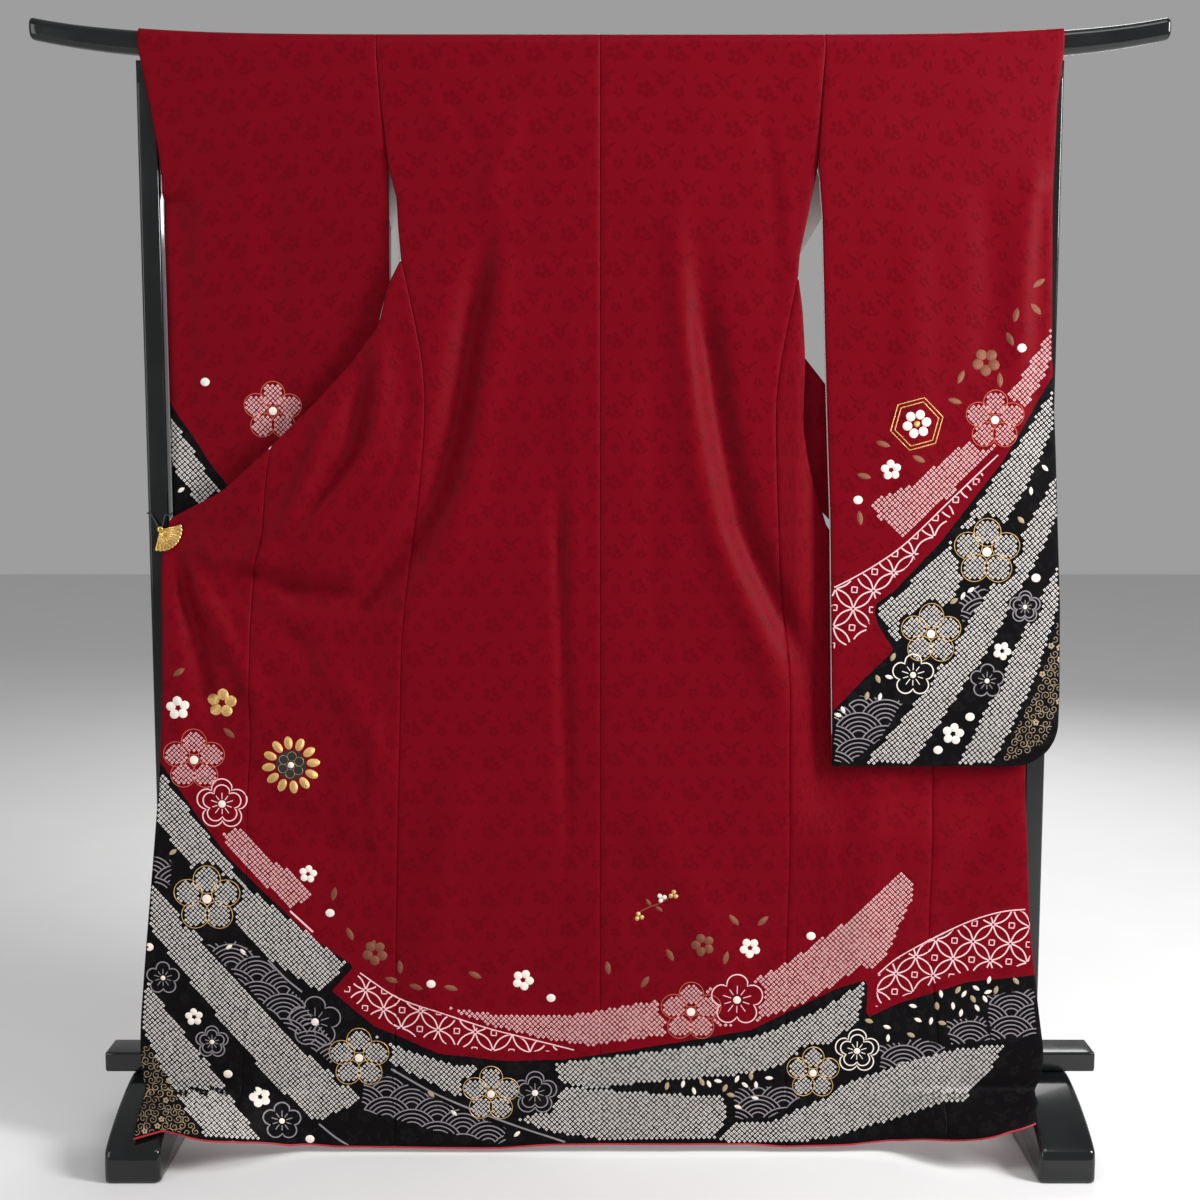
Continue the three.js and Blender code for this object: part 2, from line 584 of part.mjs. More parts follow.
function post(name, x) {
  const bottom = RAIL.bottom + RAIL.height + FIT_GAP;
  const top = BAR.bottom - FIT_GAP;
  const geometry = new THREE.ExtrudeGeometry(roundedRect(POST.size, POST.size, POST.corner), {
    depth: top - bottom, bevelEnabled: false, curveSegments: 3,
  });
  geometry.translate(x, 0, bottom);
  return solid(name, geometry, 'lacquer');
}

function rail() {
  const geometry = new THREE.ExtrudeGeometry(roundedRect(RAIL.depth, RAIL.height, RAIL.corner), {
    depth: RAIL.halfLength * 2, bevelEnabled: false, curveSegments: 3,
  });
  geometry.rotateX(Math.PI / 2);
  geometry.rotateZ(Math.PI / 2);
  geometry.translate(-RAIL.halfLength, 0, RAIL.bottom + RAIL.height / 2);
  return solid('rail', geometry, 'lacquer');
}

// A foot is a low bridge: a flat crest under the post and a full slope to each blunt tip.
function foot(name, x) {
  const shape = new THREE.Shape();
  const slope = Array.from({ length: FOOT.steps + 1 }, (_, i) => {
    const a = (i / FOOT.steps) * Math.PI / 2;
    const out = (FOOT.halfLength - FOOT.crest) * Math.max(0, Math.cos(a)) ** FOOT.curve;
    return [FOOT.crest + out, FOOT.tip + FOOT.rise * Math.sin(a) ** FOOT.curve];
  });
  shape.moveTo(-FOOT.halfLength, 0);
  shape.lineTo(FOOT.halfLength, 0);
  slope.forEach(([y, z]) => shape.lineTo(y, z));
  slope.reverse().forEach(([y, z]) => shape.lineTo(-y, z));
  const geometry = new THREE.ExtrudeGeometry(shape, { depth: FOOT.width, bevelEnabled: false });
  geometry.rotateX(Math.PI / 2);
  geometry.rotateZ(Math.PI / 2);
  geometry.translate(x - FOOT.width / 2, 0, 0);
  return solid(name, geometry, 'lacquer');
}

// A small folding-fan clip, flat against the cloth: its ribs rise and fall across a sector.
function fan(name, clip) {
  const steps = FAN.ribs * 2;
  const rows = [FAN.hub, FAN.middle, FAN.radius].map((r) => Array.from({ length: steps + 1 }, (_, i) => {
    const a = -clip.sign * (FAN.turn + FAN.spread * (i / steps - 0.5));
    return [clip.x + r * Math.sin(a), clip.z + r * Math.cos(a), i % 2 ? FAN.pleat : 0];
  }));
  const face = fanFace(rows);
  const front = rows.map((row) => row.map(([x, z, pleat]) => [x, face - FAN.thick - pleat, z]));
  const back = rows.map((row) => row.map(([x, z, pleat]) => [x, face - pleat, z]));
  return wall(name, front, back, 'gilt');
}

// The plane that a clip's back lies in, just clear of the cloth's highest point under it.
function fanFace(rows) {
  return Math.min(...rows.flat().map(([x, z]) => bodyY(x, z))) - FIT_GAP;
}

// The clip's cord runs from its pivot once round the post and back to the pivot.
function cordLoop(name, clip) {
  const half = POST.size / 2 + CORD_R + 2 * FIT_GAP;
  const bend = (value) => half * Math.sign(value) * Math.abs(value) ** CORD_LOOP.power;
  const postX = clip.sign * POST.x;
  const pivotY = bodyY(clip.x, clip.z) - CORD_R - FAN.thick;
  const points = Array.from({ length: CORD_LOOP.points }, (_, i) => {
    const share = (i + CORD_LOOP.parting) / (CORD_LOOP.points - 1 + 2 * CORD_LOOP.parting);
    const a = (share - 0.25) * Math.PI * 2;
    const z = clip.z + CORD_LOOP.above + CORD_LOOP.pitch * (share - 0.5);
    return new THREE.Vector3(postX + bend(Math.cos(a)), bend(Math.sin(a)), z);
  });
  const pivot = [1, -1].map((side) => (
    new THREE.Vector3(clip.x + side * CORD_LOOP.pitch / 2, pivotY, clip.z)));
  const path = new THREE.CatmullRomCurve3([pivot[0], ...points, pivot[1]], false, 'catmullrom', 0.5);
  const section = new THREE.Shape();
  section.absarc(0, 0, CORD_R, 0, Math.PI * 2);
  const geometry = new THREE.ExtrudeGeometry(section, {
    steps: CORD_LOOP.points * 2, bevelEnabled: false, extrudePath: path, curveSegments: 4,
  });
  return solid(name, geometry, 'cord');
}

const grids = {
  okumi_left: inset(between(EDGES.freeLeft, EDGES.okumiLeft, EDGES.foldOkumiLeft.toReversed(),
    EDGES.hemOkumiLeft, COLS.okumi)),
  front_left: inset(between(EDGES.okumiLeft, EDGES.sideLeft, EDGES.foldLeft.toReversed(),
    EDGES.hemFrontLeft, COLS.front)),
  back_left: backGrid(EDGES.armholeLeft, EDGES.openLeft, EDGES.sideLeft, EDGES.hemBackLeft, -1),
  back_right: backGrid(EDGES.armholeRight, EDGES.openRight, EDGES.sideRight, EDGES.hemBackRight, 1),
  front_right: inset(between(EDGES.sideRight, EDGES.okumiRight, EDGES.foldRight,
    EDGES.hemFrontRight, COLS.front)),
  okumi_right: inset(between(EDGES.okumiRight, EDGES.freeRight, EDGES.foldOkumiRight,
    EDGES.hemOkumiRight, COLS.okumi)),
};

const FRONT_PANELS = ['front_left', 'okumi_left', 'front_right', 'okumi_right'];
const model = new THREE.Group();
model.name = 'kimono_on_stand';
model.add(
  backPanel('back_left', grids.back_left),
  backPanel('back_right', grids.back_right),
  ...FRONT_PANELS.map((name) => hung(name, grids[name], 'silk')),
  upperFront('front_left_upper', UPPER_LEFT, -1),
  upperFront('front_right_upper', UPPER_RIGHT, 1),
  collarHalf('collar_left', COLLAR_LEFT),
  collarHalf('collar_right', COLLAR_RIGHT),
  overCollar('over_collar'),
  sleeveLayer('sleeve_left_back', SLEEVE_LEFT, -1, -1),
  sleeveLayer('sleeve_left_front', SLEEVE_LEFT, 1, -1),
  sleeveLayer('sleeve_right_back', SLEEVE_RIGHT, -1, 1),
  sleeveLayer('sleeve_right_front', SLEEVE_RIGHT, 1, 1),
  hemRoll(Object.values(grids)),
  topBar(),
  post('post_left', -POST.x),
  post('post_right', POST.x),
  rail(),
  foot('foot_left', -FOOT.x),
  foot('foot_right', FOOT.x),
  ...CLIPS.map((clip) => fan(`clip_${clip.side}`, clip)),
  ...CLIPS.map((clip) => cordLoop(`cord_${clip.side}`, clip)),
);

export default model;
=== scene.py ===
"""Looks of a long-sleeved kimono hung back outwards on a lacquered stand.

Lengths in the tables are millimetres.
"""

import math

import bpy
import numpy as np
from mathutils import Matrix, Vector
from mathutils.bvhtree import BVHTree


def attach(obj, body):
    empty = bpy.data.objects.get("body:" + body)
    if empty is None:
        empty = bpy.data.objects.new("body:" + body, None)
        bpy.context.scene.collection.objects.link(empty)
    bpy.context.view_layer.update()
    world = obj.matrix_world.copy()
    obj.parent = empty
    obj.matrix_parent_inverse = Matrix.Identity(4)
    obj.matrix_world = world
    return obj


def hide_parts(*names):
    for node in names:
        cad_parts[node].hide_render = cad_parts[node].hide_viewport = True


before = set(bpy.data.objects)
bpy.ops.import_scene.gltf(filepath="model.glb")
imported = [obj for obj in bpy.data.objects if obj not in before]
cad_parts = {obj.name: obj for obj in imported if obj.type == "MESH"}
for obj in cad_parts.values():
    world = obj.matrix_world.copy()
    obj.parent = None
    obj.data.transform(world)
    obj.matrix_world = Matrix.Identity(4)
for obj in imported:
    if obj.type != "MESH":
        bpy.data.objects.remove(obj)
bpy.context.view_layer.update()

MM = 0.001
CLOTH_T = 2.4
STEP = 8.0                       # target size of a cloth cell

BAR = dict(half=834, depth=30, bottom=1632, height=35, corner=12, gap=1, rise=30, power=5.8)
FOOT = dict(half=195, crest=30, tip=42, rise=62, curve=1.5)
HANG = dict(top=1640, fall=1625, start=18.6, lean=69.4, power=1.15)
DRAPE = (430, 640, 20)
TIES = [(-655, 950, 25, 95), (634, 860, 8, 80)]   # where a clip holds the cloth: x, z, pull, reach
SHOULDER_END = 1480              # the cloth follows the rise of the bar's ends from here up
CALM_FROM = 1560                 # small folds fade out from here up to the bar

# Folds: depth (positive a trough), half width, then the line of (x, z) points.
FOLDS = [
    (17, 21, [(-125, 1479), (-171, 1350), (-195, 1241), (-219, 1099), (-248, 1006), (-290, 924),
              (-362, 845), (-447, 847), (-522, 872), (-600, 915)]),
    (-6, 26, [(-100, 1600), (-150, 1459), (-150, 1250), (-184, 1074), (-195, 1001), (-234, 899),
              (-300, 815), (-400, 790)]),
    (-8, 16, [(-362, 1200), (-423, 1057), (-461, 954), (-514, 894), (-573, 902), (-630, 935)]),
    (-9, 17, [(-322, 1262), (-325, 1168), (-333, 1077), (-378, 1020), (-446, 946), (-503, 899)]),
    (9, 15, [(-340, 1222), (-378, 1057), (-455, 945), (-500, 905)]),
    (11, 14, [(-640, 930), (-625, 850), (-611, 802), (-595, 722), (-575, 620)]),
    (-8, 16, [(-633, 930), (-595, 841), (-558, 787), (-526, 726), (-500, 640)]),
    (7, 20, [(-575, 872), (-535, 842), (-497, 815), (-450, 773), (-400, 700)]),
    (-6, 24, [(-459, 767), (-387, 716), (-337, 623), (-320, 520)]),
    (5, 30, [(-560, 640), (-500, 540), (-421, 480), (-312, 430)]),
    (16, 20, [(134, 1450), (149, 1276), (161, 1212), (176, 1118), (191, 1043), (211, 949), (241, 881),
              (273, 815), (299, 758), (315, 640)]),
    (-7, 22, [(108, 1500), (112, 1380), (130, 1200), (145, 1040), (169, 950), (196, 880), (234, 800),
              (273, 700), (270, 560)]),
    (5, 12, [(-64, 1040), (-62, 924), (-57, 782), (-52, 617), (-48, 466)]),
    (-6, 40, [(60, 560), (110, 440), (170, 330), (200, 200)]),
    (6, 38, [(610, 560), (560, 450), (529, 380), (500, 260)]),
    (-6, 36, [(-200, 640), (-230, 480), (-260, 300), (-240, 60)]),
    (5, 45, [(-60, 420), (-90, 280), (-80, 40)]),
    (-5, 30, [(400, 820), (420, 600), (400, 380), (380, 60)]),
]
# Finer creases that only the looks carry.
CREASES = [
    (3.0, 4.5, [(-63, 1042), (-62, 924), (-57, 782), (-52, 617), (-51, 480), (-60, 300)]),
    (1.2, 5.0, [(-168, 1328), (-129, 1343), (-99, 1348), (6, 1346), (100, 1345), (141, 1333),
                (219, 1320)]),
    (-2.0, 9.0, [(-110, 1588), (-140, 1500), (-161, 1459), (-178, 1390)]),
    (1.6, 12.0, [(230, 1600), (252, 1480), (262, 1340), (250, 1220)]),
    (-1.6, 11.0, [(255, 1560), (275, 1430), (276, 1330)]),
    (1.5, 10.0, [(-240, 1610), (-200, 1540), (-165, 1480)]),
    (-1.4, 14.0, [(-40, 1300), (-46, 1100), (-36, 900), (-60, 700)]),
    (1.3, 16.0, [(70, 1250), (82, 1050), (80, 860), (110, 640)]),
    (2.0, 10.0, [(-560, 905), (-500, 860), (-430, 850)]),
    (-2.4, 8.0, [(-646, 900), (-636, 820), (-628, 700), (-632, 560)]),
    (2.2, 8.0, [(-625, 925), (-575, 860), (-545, 800), (-520, 700)]),
    (-2.0, 9.0, [(-330, 700), (-345, 560), (-330, 420)]),
    (1.8, 14.0, [(-430, 620), (-400, 500), (-420, 330), (-400, 160)]),
    (1.6, 13.0, [(-600, 420), (-590, 300), (-612, 200), (-600, 120)]),
    (-1.8, 15.0, [(330, 560), (350, 400), (340, 220), (360, 60)]),
    (1.6, 12.0, [(450, 520), (440, 360), (460, 180)]),
    (-1.7, 14.0, [(20, 420), (40, 260), (30, 60)]),
    (-2.0, 9.0, [(-300, 1150), (-312, 1060), (-352, 1000)]),
    (1.8, 8.0, [(-292, 1240), (-284, 1130), (-300, 1040), (-350, 960)]),
    (-1.5, 10.0, [(-560, 1000), (-520, 975), (-480, 960)]),
    (1.5, 10.0, [(-420, 1110), (-455, 1040), (-520, 960), (-590, 930)]),
]

EDGES = dict(
    centre=[(0, 1640), (0, 1481), (0, 1345), (0, 15)],
    armhole_left=[(-327, 1640), (-322, 1575), (-311, 1481)],
    armhole_right=[(329, 1640), (325, 1575), (320, 1481)],
    open_left=[(-311, 1481), (-299, 1434), (-297, 1393), (-293, 1345)],
    open_right=[(320, 1481), (307, 1414), (294, 1352), (292, 1320)],
    side_left=[(-293, 1345), (-276, 1267), (-261, 1190), (-259, 1120), (-267, 1020), (-281, 923),
               (-297, 782), (-301, 617), (-306, 450), (-311, 174), (-313, 10)],
    side_right=[(292, 1320), (280, 1262), (266, 1190), (260, 1130), (263, 1020), (268, 887), (284, 740),
                (285, 541), (286, 455), (282, 323), (281, 11)],
    okumi_left=[(-489, 1069), (-500, 1000), (-504, 932), (-520, 880), (-524, 796), (-525, 617),
                (-531, 560), (-536, 245), (-543, 122), (-544, 48)],
    okumi_right=[(520, 866), (512, 760), (504, 640), (502, 541), (499, 420), (497, 331), (514, 159),
                 (521, 109), (520, 42)],
    free_left=[(-644, 962), (-657, 912), (-658, 850), (-655, 793), (-655, 700), (-661, 580), (-675, 429),
               (-688, 297), (-697, 190), (-697, 128), (-690, 100), (-684, 64)],
    free_right=[(634, 862), (640, 740), (642, 600), (643, 500), (646, 411), (652, 323), (664, 221),
                (674, 150), (670, 112), (645, 76)],
    fold_left=[(-293, 1345), (-314, 1304), (-326, 1250), (-369, 1192), (-422, 1135), (-489, 1069)],
    fold_okumi_left=[(-489, 1069), (-564, 1003), (-644, 962)],
    fold_right=[(292, 1320), (299, 1273), (304, 1200), (301, 1100), (310, 1045), (342, 940), (420, 890),
                (520, 866)],
    fold_okumi_right=[(520, 866), (580, 861), (634, 862)],
    hem_back_left=[(-313, 10), (-220, 9), (-149, 9), (-87, 14), (0, 15)],
    hem_back_right=[(0, 15), (228, 15), (281, 11)],
    hem_front_left=[(-544, 48), (-515, 37), (-470, 18), (-400, 11), (-313, 10)],
    hem_front_right=[(281, 11), (380, 14), (460, 24), (520, 42)],
    hem_okumi_left=[(-684, 64), (-643, 71), (-617, 67), (-544, 48)],
    hem_okumi_right=[(520, 42), (603, 68), (645, 76)],
)

SLEEVE_BOTTOM, SLEEVE_CORNER, CUFF_Z = 593, 65, 1440
SLEEVES = dict(
    left=dict(
        sign=-1,
        inner=[(-327, 1640), (-322, 1575), (-311, 1481), (-312, 1313), (-314, 593)],
        outer=[(-674, 1640), (-661, 1575), (-650, 1512), (-645, 1467), (-645, 593)],
        outer_rear=[(-645, 1640), (-645, 593)],
        middle=[(1640, 0), (593, 0)],
        half=[(1640, 16.2), (1512, 16.2), (1300, 8.5), (1100, 7), (900, 6), (593, 5)]),
    right=dict(
        sign=1,
        inner=[(329, 1640), (325, 1575), (320, 1481), (326, 1405), (332, 1212), (342, 956), (348, 593)],
        outer=[(677, 1640), (668, 1560), (664, 1431), (667, 1211), (675, 1072), (686, 831), (687, 702),
               (685, 593)],
        outer_rear=[(645, 1640), (645, 1455), (664, 1440), (667, 1211), (675, 1072), (686, 831),
                    (687, 702), (685, 593)],
        middle=[(1640, 0), (1560, -8.5), (1500, -17), (1455, -23), (1430, -25.5), (1300, -30),
                (1180, -34), (1000, -41), (860, -47), (593, -61)],
        half=[(1640, 16.2), (1560, 12), (1500, 7.6), (1455, 4.6), (1430, 4.6), (1300, 5.5), (593, 5)]),
)
SLEEVE_FOLDS = [
    (-5, 13, [(-648, 1480), (-634, 1300), (-632, 1100), (-634, 800)]),
    (2.6, 22, [(-500, 1560), (-480, 1300), (-470, 1000)]),
    (4, 16, [(668, 1530), (655, 1400), (650, 1200), (655, 1000)]),
    (-4, 18, [(640, 1500), (625, 1350), (620, 1150)]),
    (4, 24, [(560, 1500), (572, 1350), (575, 1280), (560, 1150)]),
    (-3, 30, [(450, 1450), (460, 1200), (470, 900)]),
]
REAR_FACE = [(1640, 16.2), (1600, 13.5), (1500, 5), (1400, -6), (1345, -12.5), (1250, -16.6),
             (593, -16.6)]
UPPER_LEFT = [(-327, 1640, -90, 1640, 55), (-324.3, 1608, -113, 1610, 55), (-322, 1575, -138, 1578, 55),
              (-318.3, 1543, -163, 1545, 55), (-314.7, 1512, -187, 1512, 55),
              (-311, 1481, -210, 1480, 55), (-312, 1440, -234, 1442, 55), (-312, 1402, -254, 1402, 52),
              (-303, 1368, -266, 1356, 46), (-297, 1336, -270, 1314, 42), (-319, 1290, -288, 1258, 44),
              (-331, 1240, -309, 1206, 46), (-373, 1183, -343, 1151, 50), (-426, 1124, -398, 1095, 55),
              (-493, 1057, -466, 1026, 55), (-560, 1000, -540, 966, 50), (-606, 972, -595, 940, 40)]
UPPER_RIGHT = [(329, 1640, 90, 1640, 55), (327, 1608, 106, 1608, 55), (325, 1575, 122, 1575, 55),
               (323.3, 1543, 138, 1543, 55), (321.7, 1512, 154, 1512, 55), (320, 1481, 169, 1481, 55),
               (329, 1440, 190, 1440, 55), (329, 1408, 206, 1408, 55), (312, 1380, 222, 1378, 56),
               (296, 1353, 238, 1346, 58), (290, 1318, 252, 1310, 62), (298, 1273, 266, 1266, 68),
               (304, 1222, 286, 1222, 76)]
COLLAR_NECK = [(0, 1652, 55), (40, 1652, 55), (78, 1645, 55)]
COLLAR_TAIL = [(302, 1204, 90), (334, 1164, 105), (398, 1062, 110), (478, 966, 100), (560, 902, 60),
               (614, 876, 34)]
COLLAR_LEFT = [(-x, z, w) for x, z, w in COLLAR_NECK] + [r[2:] for r in UPPER_LEFT]
COLLAR_RIGHT = COLLAR_NECK + [r[2:] for r in UPPER_RIGHT] + COLLAR_TAIL


# ---------------------------------------------------------------- shape of the cloth

def smooth(a, b, v):
    t = np.clip((np.asarray(v, float) - a) / (b - a), 0, 1)
    return t * t * (3 - 2 * t)


def along(points, shares):
    p = np.array(points, float)
    length = np.concatenate([[0], np.cumsum(np.hypot(*np.diff(p, axis=0).T))])
    at = np.asarray(shares, float) * length[-1]
    return np.stack([np.interp(at, length, p[:, k]) for k in range(2)], -1)


def rounded(points, shares):
    """Like along, with the corners of the line eased."""
    shares = np.asarray(shares, float)
    reach = 0.012
    room = np.minimum(1, np.minimum(shares, 1 - shares) / (3 * reach))
    return sum(along(points, np.clip(shares + d * reach * room, 0, 1)) for d in (-2, -1, 0, 1, 2)) / 5


def table(rows, key):
    r = np.array(sorted(rows), float)
    return np.interp(key, r[:, 0], r[:, 1])


def x_at(line, z):
    return table([(q, p) for p, q in line], z)


def fold_shift(folds, x, z):
    x, z = np.broadcast_arrays(np.asarray(x, float), np.asarray(z, float))
    total = np.zeros(x.shape)
    for depth, width, path in folds:
        p = np.array(path, float)
        low, high = p.min(0) - 4 * width, p.max(0) + 4 * width
        near = (x > low[0]) & (x < high[0]) & (z > low[1]) & (z < high[1])
        if not near.any():
            continue
        px, pz = x[near], z[near]
        best = np.full(px.shape, 1e9)
        place = np.zeros(px.shape)
        last = len(p) - 1
        for i in range(last):
            (ax, az), (dx, dz) = p[i], p[i + 1] - p[i]
            share = np.clip(((px - ax) * dx + (pz - az) * dz) / (dx * dx + dz * dz), 0, 1)
            off = np.hypot(px - ax - share * dx, pz - az - share * dz)
            hit = off < best
            best[hit] = off[hit]
            place[hit] = (i + share[hit]) / last
        fade = smooth(0, 0.22, place) * smooth(1, 0.78, place)
        total[near] += depth * fade * np.exp(-(best / width) ** 2)
    return total


def ripple(x, z):
    """The small unevenness of hung silk."""
    return (0.5 * np.sin(x / 61 + z / 173 + 0.7) * np.sin(z / 97 - x / 211)
            + 0.35 * np.sin(x / 29 - z / 260 + 1.9) * np.sin(z / 143 + 0.4)
            + 0.25 * np.sin(x / 17 + z / 88) * np.sin(x / 43 - z / 61 + 2.2))


def foot_front(z):
    up = np.clip((np.asarray(z, float) - FOOT["tip"]) / FOOT["rise"], 0, 1)
    out = (1 - up ** (2 / FOOT["curve"])) ** (FOOT["curve"] / 2)
    return -(FOOT["crest"] + DRAPE[2] + (FOOT["half"] - FOOT["crest"]) * out)


def body_y(x, z, fine=True):
    x, z = np.broadcast_arrays(np.asarray(x, float), np.asarray(z, float))
    s = np.clip((HANG["top"] - z) / HANG["fall"], 0, 1)
    lean = -(HANG["start"] + HANG["lean"] * s ** HANG["power"])
    y = lean + smooth(DRAPE[0], DRAPE[1], np.abs(x)) * np.minimum(0, foot_front(z) - lean)
    for tx, tz, pull, reach in TIES:
        y = y + pull * np.exp(-((x - tx) ** 2 + (z - tz) ** 2) / (2 * reach ** 2))
    y = y + 14 * smooth(288, 335, x) * smooth(470, 560, z) * smooth(1330, 1230, z)
    y = y + fold_shift(FOLDS, x, z)
    if fine:
        y = y + (fold_shift(CREASES, x, z) + ripple(x, z) * 1.4) * calm_at_top(z)
    return y


def bar_rise(x):
    return BAR["rise"] * (np.abs(x) / BAR["half"]) ** BAR["power"]


def raised_to_bar(x, z):
    return z + bar_rise(x) * smooth(SHOULDER_END, HANG["top"], z)


def calm_at_top(z):
    return smooth(HANG["top"], CALM_FROM, z)


def over_bar(side, steps=9):
    """Rows of (y, z, ny, nz) from the ridge of the bar round to its face."""
    radius = BAR["corner"] + BAR["gap"]
    cy = BAR["depth"] / 2 - BAR["corner"]
    cz = BAR["bottom"] + BAR["height"] - BAR["corner"]
    rows = [(0, cz + radius, 0, 1)]
    for a in np.radians(np.linspace(90, 0, steps)):
        rows.append((side * (cy + radius * math.cos(a)), cz + radius * math.sin(a), side * math.cos(a),
                     math.sin(a)))
    return rows


def sleeve_y(name, x, z, side=-1, fine=True):
    """Outer face of one layer of a sleeve bag."""
    s = SLEEVES[name]
    x, z = np.broadcast_arrays(np.asarray(x, float), np.asarray(z, float))
    a = x_at(s["inner"], z)
    b = x_at(s["outer"] if side < 0 else s["outer_rear"], z)
    share = np.clip((b - x) / (b - a), 0, 1)
    sewn = np.where(z < CUFF_Z, np.minimum(1, share * 6), 1)
    opened = smooth(SLEEVE_BOTTOM, SLEEVE_BOTTOM + 70, z)
    half = table(s["half"], z) * np.minimum(opened, sewn)
    calm = smooth(SLEEVE_BOTTOM, SLEEVE_BOTTOM + 120, z)
    shift = fold_shift(SLEEVE_FOLDS, x, z) * calm * (1 if side < 0 else 0.3)
    if fine:
        shift = shift + ripple(x + 500, z) * calm * calm_at_top(z) * (1.1 if side < 0 else 0.6)
    if side < 0:
        shift = np.minimum(shift, half)
    return table(s["middle"], z) + side * half + shift + side * CLOTH_T


# ---------------------------------------------------------------- meshes

def between(left, right, top, bottom, v, u):
    """Interior of four edge lines: left and right run down, top and bottom run across."""
    l, r = rounded(left, v)[:, None, :], rounded(right, v)[:, None, :]
    t, b = rounded(top, u)[None], rounded(bottom, u)[None]
    v, u = v[:, None, None], u[None, :, None]
    tl, tr, bl, br = (np.array(q, float) for q in (top[0], top[-1], bottom[0], bottom[-1]))
    return ((1 - u) * l + u * r + (1 - v) * t + v * b
            - (1 - u) * (1 - v) * tl - u * (1 - v) * tr - (1 - u) * v * bl - u * v * br)


def make_mesh(name, verts, quads, tris=None):
    mesh = bpy.data.meshes.new(name)
    quads = np.asarray(quads, np.int32).reshape(-1, 4)
    tris = np.zeros((0, 3), np.int32) if tris is None else np.asarray(tris, np.int32).reshape(-1, 3)
    mesh.vertices.add(len(verts))
    mesh.vertices.foreach_set("co", (np.asarray(verts, float) * MM).astype(np.float32).ravel())
    mesh.loops.add(quads.size + tris.size)
    mesh.loops.foreach_set("vertex_index", np.concatenate([quads.ravel(), tris.ravel()]))
    mesh.polygons.add(len(quads) + len(tris))
    starts = np.concatenate([np.arange(len(quads)) * 4, quads.size + np.arange(len(tris)) * 3])
    mesh.polygons.foreach_set("loop_start", starts.astype(np.int32))
    mesh.update(calc_edges=True)
    mesh.validate()
    obj = bpy.data.objects.new(name, mesh)
    bpy.context.scene.collection.objects.link(obj)
    mesh.shade_smooth()
    return obj


def corner_layer(mesh, name, values):
    """A two-number value per vertex, kept as a UV map."""
    layer = mesh.uv_layers.new(name=name)
    index = np.zeros(len(mesh.loops), np.int32)
    mesh.loops.foreach_get("vertex_index", index)
    layer.uv.foreach_set("vector", np.asarray(values, np.float32)[index].ravel())


def vertex_value(mesh, name, values):
    layer = mesh.attributes.new(name, "FLOAT", "POINT")
    layer.data.foreach_set("value", np.asarray(values, np.float32).ravel())


def arc_lengths(grid):
    """Cloth coordinates in metres from the lengths along the middle row and column."""
    down = np.linalg.norm(np.diff(grid, axis=0), axis=2)
    across = np.linalg.norm(np.diff(grid, axis=1), axis=2)
    v = np.concatenate([np.zeros((1, grid.shape[1])), np.cumsum(down, 0)])
    u = np.concatenate([np.zeros((grid.shape[0], 1)), np.cumsum(across, 1)], 1)
    return u * MM, v * MM


def double_face(name, outer, inner):
    """A closed thin body from its two faces, and the number of faces on one side."""
    rows, cols = outer.shape[:2]
    o, n = np.arange(2 * rows * cols).reshape(2, rows, cols)
    outer_faces = np.stack([o[:-1, :-1], o[1:, :-1], o[1:, 1:], o[:-1, 1:]], -1).reshape(-1, 4)
    inner_faces = np.stack([n[:-1, :-1], n[:-1, 1:], n[1:, 1:], n[1:, :-1]], -1).reshape(-1, 4)
    rim = [np.stack([o[1:, 0], o[:-1, 0], n[:-1, 0], n[1:, 0]], -1),
           np.stack([o[:-1, -1], o[1:, -1], n[1:, -1], n[:-1, -1]], -1),
           np.stack([o[0, :-1], o[0, 1:], n[0, 1:], n[0, :-1]], -1),
           np.stack([o[-1, 1:], o[-1, :-1], n[-1, :-1], n[-1, 1:]], -1)]
    faces = np.concatenate([outer_faces, inner_faces, *rim])
    verts = np.concatenate([outer.reshape(-1, 3), inner.reshape(-1, 3)])
    if not facing_out(verts, faces):
        faces = faces[:, ::-1]
    obj = make_mesh(name, verts, faces)
    u, v = arc_lengths(outer)
    size = max(u.max(), v.max()) * 1.02
    half = np.stack([u / size * 0.48, v / size], -1).reshape(-1, 2)
    corner_layer(obj.data, "OFBake", np.concatenate([half + (0.005, 0.005), half + (0.505, 0.005)]))
    return obj, len(outer_faces)


def shell(name, outer, inner, chart, materials, weave_shift=(0, 0), ground=()):
    """A wall of cloth.

    chart holds (x, z) in millimetres for the pattern, ground the outline of its black part.
    """
    obj, first = double_face(name, outer, inner)
    mesh = obj.data
    u, v = arc_lengths(outer)
    share = u / u[:, -1:]
    weave = np.stack([share * u[:, -1].mean() + weave_shift[0], v[-1:] - v + weave_shift[1]],
                     -1).reshape(-1, 2)
    corner_layer(mesh, "weave", np.concatenate([weave, weave]))
    depth = black_depth(chart.reshape(-1, 2), ground)
    vertex_value(mesh, "black", np.concatenate([depth, depth]))
    vertex_value(mesh, "height", np.concatenate([outer[..., 2].ravel(), inner[..., 2].ravel()]))
    for m in materials:
        mesh.materials.append(m)
    which = np.zeros(len(mesh.polygons), np.int32)
    which[first:2 * first] = 1
    mesh.polygons.foreach_set("material_index", which)
    return obj


def facing_out(points, faces):
    """True where the quads, read in order, enclose a positive volume."""
    p = points - points.mean(0)
    a, b, c, d = (p[faces[:, k]] for k in range(4))
    return (np.einsum("ij,ij->i", a, np.cross(b, c)) + np.einsum("ij,ij->i", a, np.cross(c, d))).sum() > 0


def edged(target, width):
    """Even shares across a width, with one narrow cell at each side for the rounding of a seam."""
    lip = 2.6 / width
    count = max(2, int(round(width / target)))
    return np.concatenate([[0], np.linspace(lip, 1 - lip, count), [1]])


